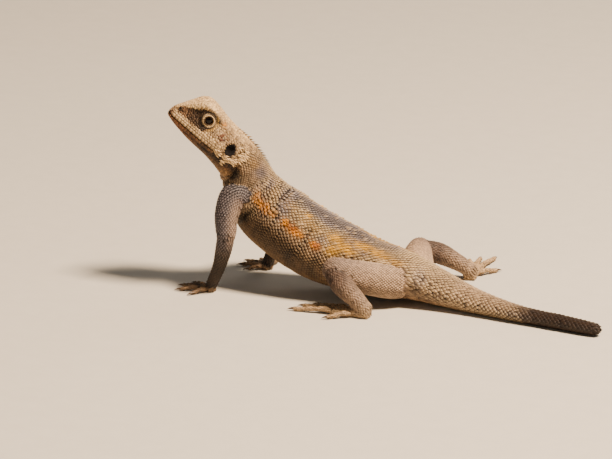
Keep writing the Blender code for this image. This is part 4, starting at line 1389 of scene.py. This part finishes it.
# The size of one scale's patch, as a share of the unwrap.
PATCH = 0.003


def unwrap_patches(item):
    """Gives each scale its own small patch on the unwrap of the skin, at its root's place."""
    mesh = item.data
    patch, local = (read_rows(mesh.attributes[key].data, "vector", 3)[:, :2] for key in ("patch", "local"))
    corners = read_rows(mesh.loops, "vertex_index", 1, int)[:, 0]
    mesh.uv_layers.new(name="OFBake").data.foreach_set("uv", (patch + local * PATCH)[corners].ravel())
    for key in ("patch", "local"):
        mesh.attributes.remove(mesh.attributes[key])


def rows_on_head(surface, local, along, room, kind):
    """Rows of roots at points given in the head's frame."""
    spots, normals, _, faces = surface.snap(from_head(local))
    return root_rows(spots, normals, along, surface.where(faces), room, kind)


# Rows of lip plates: height over the mouth, length of a plate, its distance from the next.
LIP_ROWS = ((0.55, 1.2, 1.14), (1.36, 0.95, 0.9), (-0.5, 1.15, 1.1), (-1.18, 0.85, 0.84))
# Rings of granules round the eye: radius, and the distance between neighbours.
LID_RINGS = ((1.24, 0.33), (1.55, 0.37), (1.86, 0.4), (2.22, 0.46))
EAR_SCALES = 17
# The turn from one spine of a tuft to the next, in radians, which never brings two into line.
TUFT_TURN = 2.4


def mouth_spots(stops):
    """Points of the mouth's line at distances along it from the snout."""
    return np.stack([np.interp(stops, lengths_along(MOUTH), MOUTH[:, axis]) for axis in range(3)], -1)


def lip_roots(surface):
    """The plates along both lips, with one plate at the tip of the snout above and below."""
    blocks = []
    for row, (height, room, pitch) in enumerate(LIP_ROWS):
        stops = np.arange(0.95 + 0.5 * (row % 2), lengths_along(MOUTH)[-1], pitch)
        line = mouth_spots(stops)
        ahead = mouth_spots(stops + 0.3) - line
        for mirror in ((1, 1, 1), (1, -1, 1)):
            local, way = (line + (0, 0, height)) * mirror, (ahead * mirror) @ HEAD_AXES
            blocks.append(rows_on_head(surface, local, way, room, PLATE))
    blocks.append(rows_on_head(surface, ((-0.1, 0, 0.5), (-0.1, 0, -0.6)), LEFT, 1.3, PLATE))
    return blocks


def lid_roots(surface):
    """Rings of granules round each eye, smallest at the edge of the lids."""
    blocks = []
    for side, (ring, (radius, room)) in product((1, -1), enumerate(LID_RINGS)):
        count = round(2 * math.pi * radius / room)
        turns = 2 * math.pi * (np.arange(count) + 0.5 * (ring % 2)) / count
        out = EYE[1] + math.sqrt(LID_RADIUS ** 2 - radius ** 2)
        local = np.stack((EYE[0] + radius * np.cos(turns), np.full(count, out * side),
                          EYE[2] + radius * np.sin(turns)), -1)
        outward = np.stack((np.cos(turns), 0 * turns, np.sin(turns)), -1) @ HEAD_AXES
        blocks.append(rows_on_head(surface, local, outward, room * 1.1, GRANULE))
    return blocks


def ear_roots(surface):
    """Scales round the rim of each ear opening, those of its front edge drawn out to spines."""
    blocks = []
    turns = circle(EAR_SCALES)
    kind = np.where(np.cos(turns) < -0.2, SPINE, GRANULE)
    for side in (1, -1):
        local = np.stack((EAR[0] + EAR_RIM * EAR_RADII[0] * np.cos(turns),
                          np.full(EAR_SCALES, (EAR[1] + 0.4) * side),
                          EAR[2] + EAR_RIM * EAR_RADII[1] * np.sin(turns)), -1)
        blocks.append(rows_on_head(surface, local, BACK, 0.72, kind))
    return blocks


def side_spot(surface, back, height, side):
    """The spot of the skin seen from the head's side at a place of the head's frame."""
    origin = from_head((back, 25.0 * side, height))
    spot, _, face, _ = surface.tree.ray_cast(Vector(origin), Vector(-LEFT * side))
    return np.array(spot), face


def crest_roots(surface):
    """The crest of spines along the middle of the nape, highest half-way."""
    backs = np.arange(18.4, HEAD_LENGTH, 0.75)
    places = np.arange(-0.95, 1.2, 0.135)
    front = from_head(np.stack((backs, 0 * backs, head_line(CROWN_HEIGHT, backs)), -1))
    crest = np.concatenate((front, body_rings(places, 0, 2)[:, 0]))
    ways = np.concatenate((np.broadcast_to(BACK, front.shape), body_frames(places)[3]))
    spots, normals, _, faces = surface.snap(crest)
    height = np.sin(np.linspace(0.35, math.pi - 0.25, len(crest))) ** 0.6
    room = 0.95 * height * RANDOM.uniform(0.85, 1.15, len(crest))
    return root_rows(spots, normals, ways, surface.where(faces), room, CREST_SPINE)


def tuft_roots(surface):
    """Tufts round each ear, with spines that spread from the middle of the tuft."""
    blocks = []
    for (back, height, count), side in product(TUFTS, (1, -1)):
        centre, face = side_spot(surface, back, height, side)
        normal = surface.normals[surface.triangles[face][0]]
        way = unit(BACK - normal * BACK.dot(normal))
        across = np.cross(normal, way)
        turns = np.arange(count) * TUFT_TURN
        reach = 0.36 * np.sqrt(np.arange(count) + 0.2)
        offsets = np.outer(reach * np.cos(turns), way) + np.outer(reach * np.sin(turns), across)
        spots, normals, _, _ = surface.snap(centre + offsets)
        ways = way * 1.2 + offsets * 0.6 + RANDOM.normal(0, 0.15, offsets.shape)
        room = 0.8 * RANDOM.uniform(0.75, 1.15, count)
        blocks.append(root_rows(spots, normals, ways, surface.where([face] * count), room, TUFT_SPINE))
    return blocks


def all_roots(surface):
    """The root of every scale: first the special ones, then the common ones in what is left."""
    table = np.concatenate((*lip_roots(surface), *lid_roots(surface), *ear_roots(surface),
                            crest_roots(surface), *tuft_roots(surface)))
    crowd = Crowd()
    for row in table[np.isin(table[:, KIND], (PLATE, GRANULE))]:
        crowd.add(row[SPOT], row[ROOM] * OWN_SHARE)
    table = np.concatenate((table, head_roots(surface, crowd), *trunk_and_leg_roots(surface, crowd)))
    return np.concatenate((table, gap_roots(surface, crowd, table)))


# Spines: kind, width, height, and the tilt that lays them back, in degrees.
SPINE_SIZES = ((SPINE, 0.8, 0.75, -25), (TUFT_SPINE, 1.0, 0.9 / 0.8, -52),
               (CREST_SPINE, 0.85, 1.3 / 0.95, -22))


def root_sizes(table):
    """Length, width and height of each scale, how far its rear end is lifted, and which are large."""
    kind, place, turn = table[:, KIND], table[:, PLACE], np.abs(table[:, ANGLE])
    body, digit = (is_part(table[:, CHART].astype(int), word) for word in ("body", "digit"))
    vary = RANDOM.uniform(0.93, 1.07, (len(table), 3))
    sizes = np.repeat(table[:, [ROOM]], 3, 1)
    tilt = np.zeros(len(table))
    shield = kind == SHIELD
    upper = np.where(body, 1 - rise(turn, 85, 120), 0.6)
    big = (RANDOM.random(len(table)) < 0.1) & body & (turn < 70) & (place < 9.0) & (place > 0.5)
    sizes[shield] *= (1.44, 1.16, 0.6)
    sizes[shield, 2] *= (0.45 + 0.75 * upper)[shield]
    tilt[shield] = (2 + 5 * upper)[shield]
    tail = body & (place > 9.8)
    sizes[tail & shield] *= (1.04, 1.0, 0.85)
    tilt[tail & shield] *= 0.5
    sizes[shield & digit] *= (1.0, 1.1, 0.55)
    sizes[shield & big] *= (1.15, 1.15, 1.3)
    tilt[shield & big] += 6
    granule = kind == GRANULE
    sizes[granule] *= (1.16, 1.12, 0.52)
    tilt[granule] = 3
    sizes[kind == PLATE] *= (0.98, 0.78, 0.5)
    for which, width, height, lift in SPINE_SIZES:
        sizes[kind == which] *= (width, width * 0.8, height)
        tilt[kind == which] = lift
    return sizes * vary, tilt * vary[:, 0], big


def unwrap_spots(table, word):
    """Each root's place on an unwrap of the skin, with one box of it for each chart of the word."""
    charts = [index for index, name in enumerate(CHART_NAMES) if word in name]
    columns = math.ceil(math.sqrt(len(charts)))
    rows = math.ceil(len(charts) / columns)
    spots = np.zeros((len(table), 3))
    for k, chart in enumerate(charts):
        here = table[:, CHART] == chart
        if not here.any():
            continue
        place, angle = table[here, PLACE], table[here, ANGLE]
        along = (place - place.min()) / max(np.ptp(place), 1e-6)
        around = (angle + 180) / 360
        jitter = RANDOM.uniform(-0.001, 0.001, (here.sum(), 2))
        spots[here, 0] = ((k % columns) + 0.03 + 0.94 * along) / columns + jitter[:, 0]
        spots[here, 1] = ((k // columns) + 0.03 + 0.94 * around) / rows + jitter[:, 1]
    return spots


def coat_marks(table, big):
    """The marks of every scale, with single scales lighter or darker by chance."""
    kind = table[:, KIND]
    marks = markings(table[:, CHART].astype(int), table[:, PLACE], table[:, ANGLE], table[:, SPOT])
    marks["fleck"] = RANDOM.random(len(table))
    marks["warm"] *= RANDOM.uniform(0.8, 1.1, len(table))
    marks["pale"][big] = np.maximum(marks["pale"][big], 0.3)
    for mark, share in (("hollow_shade", 0), ("dark", 0), ("pale", 0.95), ("frost", 0.12), ("fleck", 1)):
        marks[mark][kind == TUFT_SPINE] = share
    crest = kind == CREST_SPINE
    marks["dark"][crest] = RANDOM.uniform(0, 0.9, crest.sum())
    marks["pale"][crest] = 0.1
    return {mark: np.clip(shares, 0, 1) for mark, shares in marks.items()}


# The coat's pieces: name, the word in the names of the charts that it covers, its first and last
# place along them, slot.
COAT_PIECES = [("head_scales", "head", -9, 99, "skin_head"),
               ("neck_scales", "body", -9, 2.2, "skin_body"),
               ("chest_scales", "body", 2.2, 6.2, "skin_body"),
               ("belly_scales", "body", 6.2, 11.6, "skin_body"),
               ("tail_scales", "body", 11.6, 99, "skin_tail")]
COAT_PIECES += [(leg + "_scales", leg, -9, 99, "skin_leg") for leg in LEGS]


def build_coat(surface, shapes, tree, material):
    """Every scale, in pieces by part of the body, each with its slot."""
    table = all_roots(surface)
    sizes, tilt, big = root_sizes(table)
    marks = coat_marks(table, big)
    kind, chart, place = table[:, KIND], table[:, CHART].astype(int), table[:, PLACE]
    spots, under = table[:, SPOT].copy(), table[:, NORMAL][:, 2] < -0.2
    spots[under, 2] = np.maximum(spots[under, 2], 0.5 * sizes[under, 2])
    turns = turns_of(table[:, NORMAL], table[:, ALONG], tilt)
    made = []
    for name, word, start, end, slot in COAT_PIECES:
        inside = is_part(chart, word) & (place >= start) & (place < end)
        values = {"turn": turns, "size": sizes * MM, "patch": unwrap_spots(table, word), **marks}
        parts = []
        for which, shape in shapes.items():
            chosen = inside & (kind == which)
            if chosen.any():
                parts.append(set_shapes(name, shape, tree, material, spots[chosen],
                                        {key: column[chosen] for key, column in values.items()}))
        piece = join(name, parts)
        keep_on_floor(piece)
        unwrap_patches(piece)
        made.append((piece, slot))
    return made


def mark_skin(skin, surface):
    """The skin's markings, with painted shade between the scales over its own darker tone, and the darkest
    painted shade in the mouth's groove.
    """
    marks = markings(surface.chart, surface.place, surface.angle, surface.points)
    marks["fleck"][:] = 0.3
    # Painted shade between the scales.
    marks["dark"] += 0.3
    # Painted shade in the mouth's groove.
    marks["hollow_shade"] += 0.8 * bump(mouth_distance(to_half_head(surface.points)), 0, 0.4)
    for mark, shares in marks.items():
        set_on_points(skin.data, mark, np.clip(shares, 0, 1))


def dress(item, material):
    """Gives an object its one material, and smooth shading."""
    item.data.materials.clear()
    item.data.materials.append(material)
    item.data.shade_smooth()


def build_eye(name, side):
    """An eyeball, with how far each point lies from the middle of its pupil."""
    item = ball(name, from_head(EYE * (1, side, 1)), (BACK, UP, LEFT * side), (EYE_RADIUS,) * 3, 48, 40)
    local = to_half_head(mesh_arrays(item.data)[0]) - EYE
    gaze = np.hypot(local[:, 0], local[:, 2]) / EYE_RADIUS + np.where(local[:, 1] < 0, 1.0, 0.0)
    set_on_points(item.data, "gaze", gaze)
    return item


# A nostril's plate from its foot to the pit in it: radius, height, and how dark, which is painted shade in
# the pit.
NOSTRIL_PROFILE = ((0.7, -0.3, 0), (0.66, 0.1, 0), (0.55, 0.24, 0), (0.42, 0.26, 0.1), (0.33, 0.14, 0.8),
                   (0.26, -0.06, 1), (0.1, -0.16, 1))
NOSTRIL_SIDES = 20


def build_nostrils(surface, material):
    """A raised plate on each side of the snout with the nostril as a pit in it, darkened by painted shade."""
    items = []
    for side in (1, -1):
        centre, face = side_spot(surface, NOSTRIL_BACK, NOSTRIL_UP, side)
        out = surface.out_of([face])[0]
        x = unit(BACK - out * BACK.dot(out))
        outline = round_outline(circle(NOSTRIL_SIDES), x, np.cross(out, x))
        item = loft("nostril", np.array([centre + out * height + radius * outline
                                         for radius, height, _ in NOSTRIL_PROFILE]))
        # Painted shade in the pit.
        shade = np.repeat([dark for _, _, dark in NOSTRIL_PROFILE], NOSTRIL_SIDES)
        set_on_points(item.data, "dark", 0.35 + 0.5 * shade)
        set_on_points(item.data, "hollow_shade", shade)
        set_on_points(item.data, "tip", 0.6 + 0 * shade)
        items.append(item)
    nostrils = join("nostril_plates", items)
    dress(nostrils, material)
    return nostrils


def build_claws(material):
    """Twenty curved, pointed claws."""
    items = []
    for name in LEGS:
        for start, way, radius in foot_plan(name)[2]:
            path = []
            for share in np.linspace(-0.5, 1.0, 8):
                drop = 0.42 * max(share, 0) ** 2
                thick = CLAW_RADIUS * (1.0 - 0.93 * max(share, 0) ** 1.2)
                spot = start + way * (CLAW_LENGTH * share)
                path.append((spot[0], spot[1], radius * 0.95 - drop, thick))
            items.append(loft("claw", limb_rings(path, 12, 2)))
    claws = join("claws", items)
    dress(claws, material)
    return claws


def linear(code):
    """A linear colour from an sRGB hex value."""
    parts = [int(code[i:i + 2], 16) / 255 for i in (1, 3, 5)]
    return (*[p / 12.92 if p <= 0.04045 else ((p + 0.055) / 1.055) ** 2.4 for p in parts], 1.0)


def new_material(name):
    """A new material, its nodes and its shader."""
    material = bpy.data.materials.new(name)
    material.use_nodes = True
    tree = material.node_tree
    return material, tree, tree.nodes["Principled BSDF"]


def mix(tree, share, first, second, blend="MIX"):
    """A share of the second colour laid over the first."""
    node = add(tree, "ShaderNodeMix", {0: share, 6: first, 7: second}, data_type="RGBA", blend_type=blend)
    return node.outputs[2]


def attribute(tree, name):
    """A number that the mesh gives for each of its points."""
    return add(tree, "ShaderNodeAttribute", attribute_name=name).outputs["Fac"]


def noise(tree, size_mm, detail=3.0, roughness=0.6):
    """Noise whose features have the given size."""
    where = add(tree, "ShaderNodeTexCoord").outputs["Object"]
    return add(tree, "ShaderNodeTexNoise", {"Vector": where, "Scale": 1000.0 / size_mm, "Detail": detail,
                                            "Roughness": roughness}).outputs["Fac"]


def ramp(tree, value, low, high, to_low=0.0, to_high=1.0):
    """A value drawn out between two others."""
    return add(tree, "ShaderNodeMapRange", {"Value": value, "From Min": low, "From Max": high,
                                            "To Min": to_low, "To Max": to_high}).outputs["Result"]


def times(tree, first, second, operation="MULTIPLY"):
    """The product of two numbers, or another result of them."""
    return add(tree, "ShaderNodeMath", {0: first, 1: second}, operation=operation).outputs[0]


# Sandy ground lizard colours, each laid over the ones before it by its mark. The dark one also serves
# as painted shade, and the warm, rust and yellow ones also as painted warm light in places.
GROUND_LIGHT = "#B08E64"
GROUND_DARK = "#644C32"
MARK_COLOURS = (("cool", "#6A6670"), ("rose", "#CBA388"), ("yellow", "#CE9C34"), ("warm", "#C68002"),
                ("rust", "#A04A0C"), ("dark", "#2A190B"), ("pale", "#F2CE98"))
# Painted shade inside the ear, the mouth's groove, the deepest folds and the nostrils' pits.
HOLLOW_SHADE = "#050204"
# The colour of the scales' pale tips with a painted highlight on them.
PALE_TIP_HIGHLIGHT = "#F4D8A8"
# Painted shade at the roots and rims of the scales, where they meet their neighbours: brown, and slate on
# grey parts.
ROOT_SHADE, COOL_ROOT_SHADE = "#1C120A", "#2C2C38"
# The same pale tips with their painted highlight, greyer, for grey parts.
COOL_PALE_TIP_HIGHLIGHT = "#E4D6DA"


def skin_material(name, coat):
    """Dry keratin scales: matt, finely grained, each with painted shade at its root and rim and a painted
    highlight on its pale tip, which is what makes the single scales read from a step away."""
    material, tree, shader = new_material(name)
    mark = {key: attribute(tree, key) for key in MARKS}
    mottle = ramp(tree, noise(tree, 3.5), 0.35, 0.65)
    tone = times(tree, times(tree, mottle, 0.4), times(tree, mark["fleck"], 0.6), "ADD")
    colour = mix(tree, tone, linear(GROUND_DARK), linear(GROUND_LIGHT))
    for key, code in MARK_COLOURS:
        colour = mix(tree, mark[key], colour, linear(code))
    fleck = mix(tree, mark["fleck"], linear("#847E78"), linear("#FFFFFF"))
    colour = mix(tree, 0.7, colour, fleck, "MULTIPLY")
    if coat:
        tip = attribute(tree, "tip")
        # How strong the painted shade at roots and rims is: stronger where the tips carry more painted
        # highlight.
        depth = ramp(tree, mark["frost"], 0.0, 0.5, 0.25, 0.85)
        shade = mix(tree, ramp(tree, mark["cool"], 0.0, 0.4), linear(ROOT_SHADE), linear(COOL_ROOT_SHADE))
        # Painted shade at each scale's root.
        colour = mix(tree, times(tree, ramp(tree, tip, 0.1, 0.6, 1.0, 0.0), depth), colour, shade)
        # Painted highlight at the tip of each scale, over its own pale tip.
        frosted = times(tree, mark["frost"], ramp(tree, tip, 0.58, 0.92))
        frost = mix(tree, ramp(tree, mark["cool"], 0.35, 0.9), linear(PALE_TIP_HIGHLIGHT), linear(COOL_PALE_TIP_HIGHLIGHT))
        colour = mix(tree, frosted, colour, frost)
        # Painted shade along each scale's rim.
        colour = mix(tree, times(tree, attribute(tree, "rim"), depth), colour, shade)
    # Painted shade in hollows: ear, mouth's groove, deep folds, nostrils.
    colour = mix(tree, mark["hollow_shade"], colour, linear(HOLLOW_SHADE))
    grain = noise(tree, 0.35, 4.0, 0.7)
    colour = mix(tree, 0.35, colour, mix(tree, grain, linear("#5A5A5A"), linear("#FFFFFF")), "MULTIPLY")
    rough = times(tree, ramp(tree, grain, 0.3, 0.7, 0.5, 0.72), times(tree, mark["hollow_shade"], 0.4), "ADD")
    relief = add(tree, "ShaderNodeBump", {"Height": grain, "Strength": 0.35, "Distance": 0.00006})
    feed(tree, shader, {"Base Color": colour, "Roughness": rough, "Normal": relief.outputs["Normal"],
                        "IOR": 1.4})
    return material


def eye_material():
    """A wet cornea over a nearly black pupil and a dark bronze iris: a mirror-like dark bead."""
    material, tree, shader = new_material("wet cornea over dark iris")
    gaze = attribute(tree, "gaze")
    fibre = noise(tree, 0.15, 3.0, 0.7)
    iris = mix(tree, fibre, linear("#140C08"), linear("#3E2613"))
    ring = times(tree, ramp(tree, gaze, 0.33, 0.37), ramp(tree, gaze, 0.60, 0.64, 1.0, 0.0))
    colour = mix(tree, ring, linear("#060404"), iris)
    feed(tree, shader, {"Base Color": colour, "Roughness": 0.06, "IOR": 1.33, "Specular IOR Level": 0.3,
                        "Coat Weight": 0.1, "Coat Roughness": 0.03})
    return material


def claw_material():
    """Dark horn, smooth from growth, with faint streaks and a soft gloss."""
    material, tree, shader = new_material("dark horn claw")
    streak = noise(tree, 0.4, 4.0, 0.7)
    feed(tree, shader, {"Base Color": mix(tree, streak, linear("#1C130D"), linear("#6A5340")),
                        "Roughness": ramp(tree, streak, 0.3, 0.7, 0.25, 0.42)})
    return material


def floor_material():
    """Matt painted board: pale and even, so that nothing but the animal draws the eye."""
    material, tree, shader = new_material("pale matt board")
    colour = mix(tree, noise(tree, 6.0, 2.0), linear("#C2BDB4"), linear("#CBC6BD"))
    feed(tree, shader, {"Base Color": colour, "Roughness": 0.9})
    return material


CAMERA_AZIMUTH = math.radians(24.0)
CAMERA_ELEVATION = math.radians(16.0)
CAMERA_DISTANCE = 1428.0
CAMERA_LENS = 300.0
# The near hind foot lies 61 pixels right of the picture's middle and 88.5 below it.
NEAR_FOOT = np.array((0.0, -20.0, 0.0))
NEAR_FOOT_PIXEL = (61.0, 88.5)
# Millimetres of the animal for each pixel of the picture.
PIXEL = 0.28
# Lights: name, place in metres, size, power, colour.
LIGHTS = (("key", (0.42, -0.08, 0.82), 0.18, 31.0, "#FFE3C2"),
          ("fill", (-0.5, -0.9, 0.4), 0.7, 1.1, "#FFEAD2"),
          ("rim", (0.2, 0.8, 0.7), 0.5, 2.0, "#FFF4E6"))


def build_stage():
    """A pale floor and soft lights."""
    mesh = bpy.data.meshes.new("floor")
    mesh.from_pydata([(-3, -3, 0), (3, -3, 0), (3, 6, 0), (-3, 6, 0)], [], [(0, 1, 2, 3)])
    mesh.materials.append(floor_material())
    linked("floor", mesh)
    world = bpy.data.worlds.new("studio")
    bpy.context.scene.world = world
    world.use_nodes = True
    feed(world.node_tree, world.node_tree.nodes["Background"], {"Color": linear("#F4EFE6"), "Strength": 0.14})
    for name, place, size, power, colour in LIGHTS:
        light = bpy.data.lights.new(name, "AREA")
        light.size = size
        light.energy = power
        light.color = linear(colour)[:3]
        item = linked(name, light)
        item.location = place
        item.rotation_euler = (-Vector(place)).to_track_quat("-Z", "Y").to_euler()


def build_camera():
    """The camera at the photograph's angle."""
    az, el = CAMERA_AZIMUTH, CAMERA_ELEVATION
    back = np.array((math.sin(az) * math.cos(el), -math.cos(az) * math.cos(el), math.sin(el)))
    right = np.array((math.cos(az), math.sin(az), 0.0))
    up = np.cross(back, right)
    aim = NEAR_FOOT - right * NEAR_FOOT_PIXEL[0] * PIXEL + up * NEAR_FOOT_PIXEL[1] * PIXEL
    camera = linked("camera", bpy.data.cameras.new("camera"))
    camera.data.lens = CAMERA_LENS
    camera.data.sensor_width = 36.0
    camera.data.clip_start = 0.05
    camera.location = to_frame(aim + back * CAMERA_DISTANCE)
    camera.rotation_mode = "QUATERNION"
    camera.rotation_quaternion = Matrix((right, up, back)).transposed().to_quaternion()
    bpy.context.scene.camera = camera


def main():
    """Builds the looks over the solids and says what each piece rides on and replaces."""
    scale_finish = skin_material("dry keratin scales", True)
    skin = build_skin()
    surface = Surface(skin)
    mark_skin(skin, surface)
    dress(skin, skin_material("leathery skin between scales", False))
    shapes = make_shapes()
    coat = build_coat(surface, shapes, repeat_tree(), scale_finish)
    for shape in set(shapes.values()):
        bpy.data.objects.remove(shape)
    flesh = [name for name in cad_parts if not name.startswith("eye")]
    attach(skin, "root")
    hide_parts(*flesh)
    for piece, slot in coat:
        piece.data.shade_smooth()
        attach(piece, "root")
    nostrils = build_nostrils(surface, scale_finish)
    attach(nostrils, "root")
    for name, side in (("left", 1), ("right", -1)):
        eye = build_eye("eyeball_" + name, side)
        dress(eye, eye_material())
        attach(eye, "root")
        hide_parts("eye_" + name)
    claws = build_claws(claw_material())
    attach(claws, "root")
    build_stage()
    build_camera()


main()
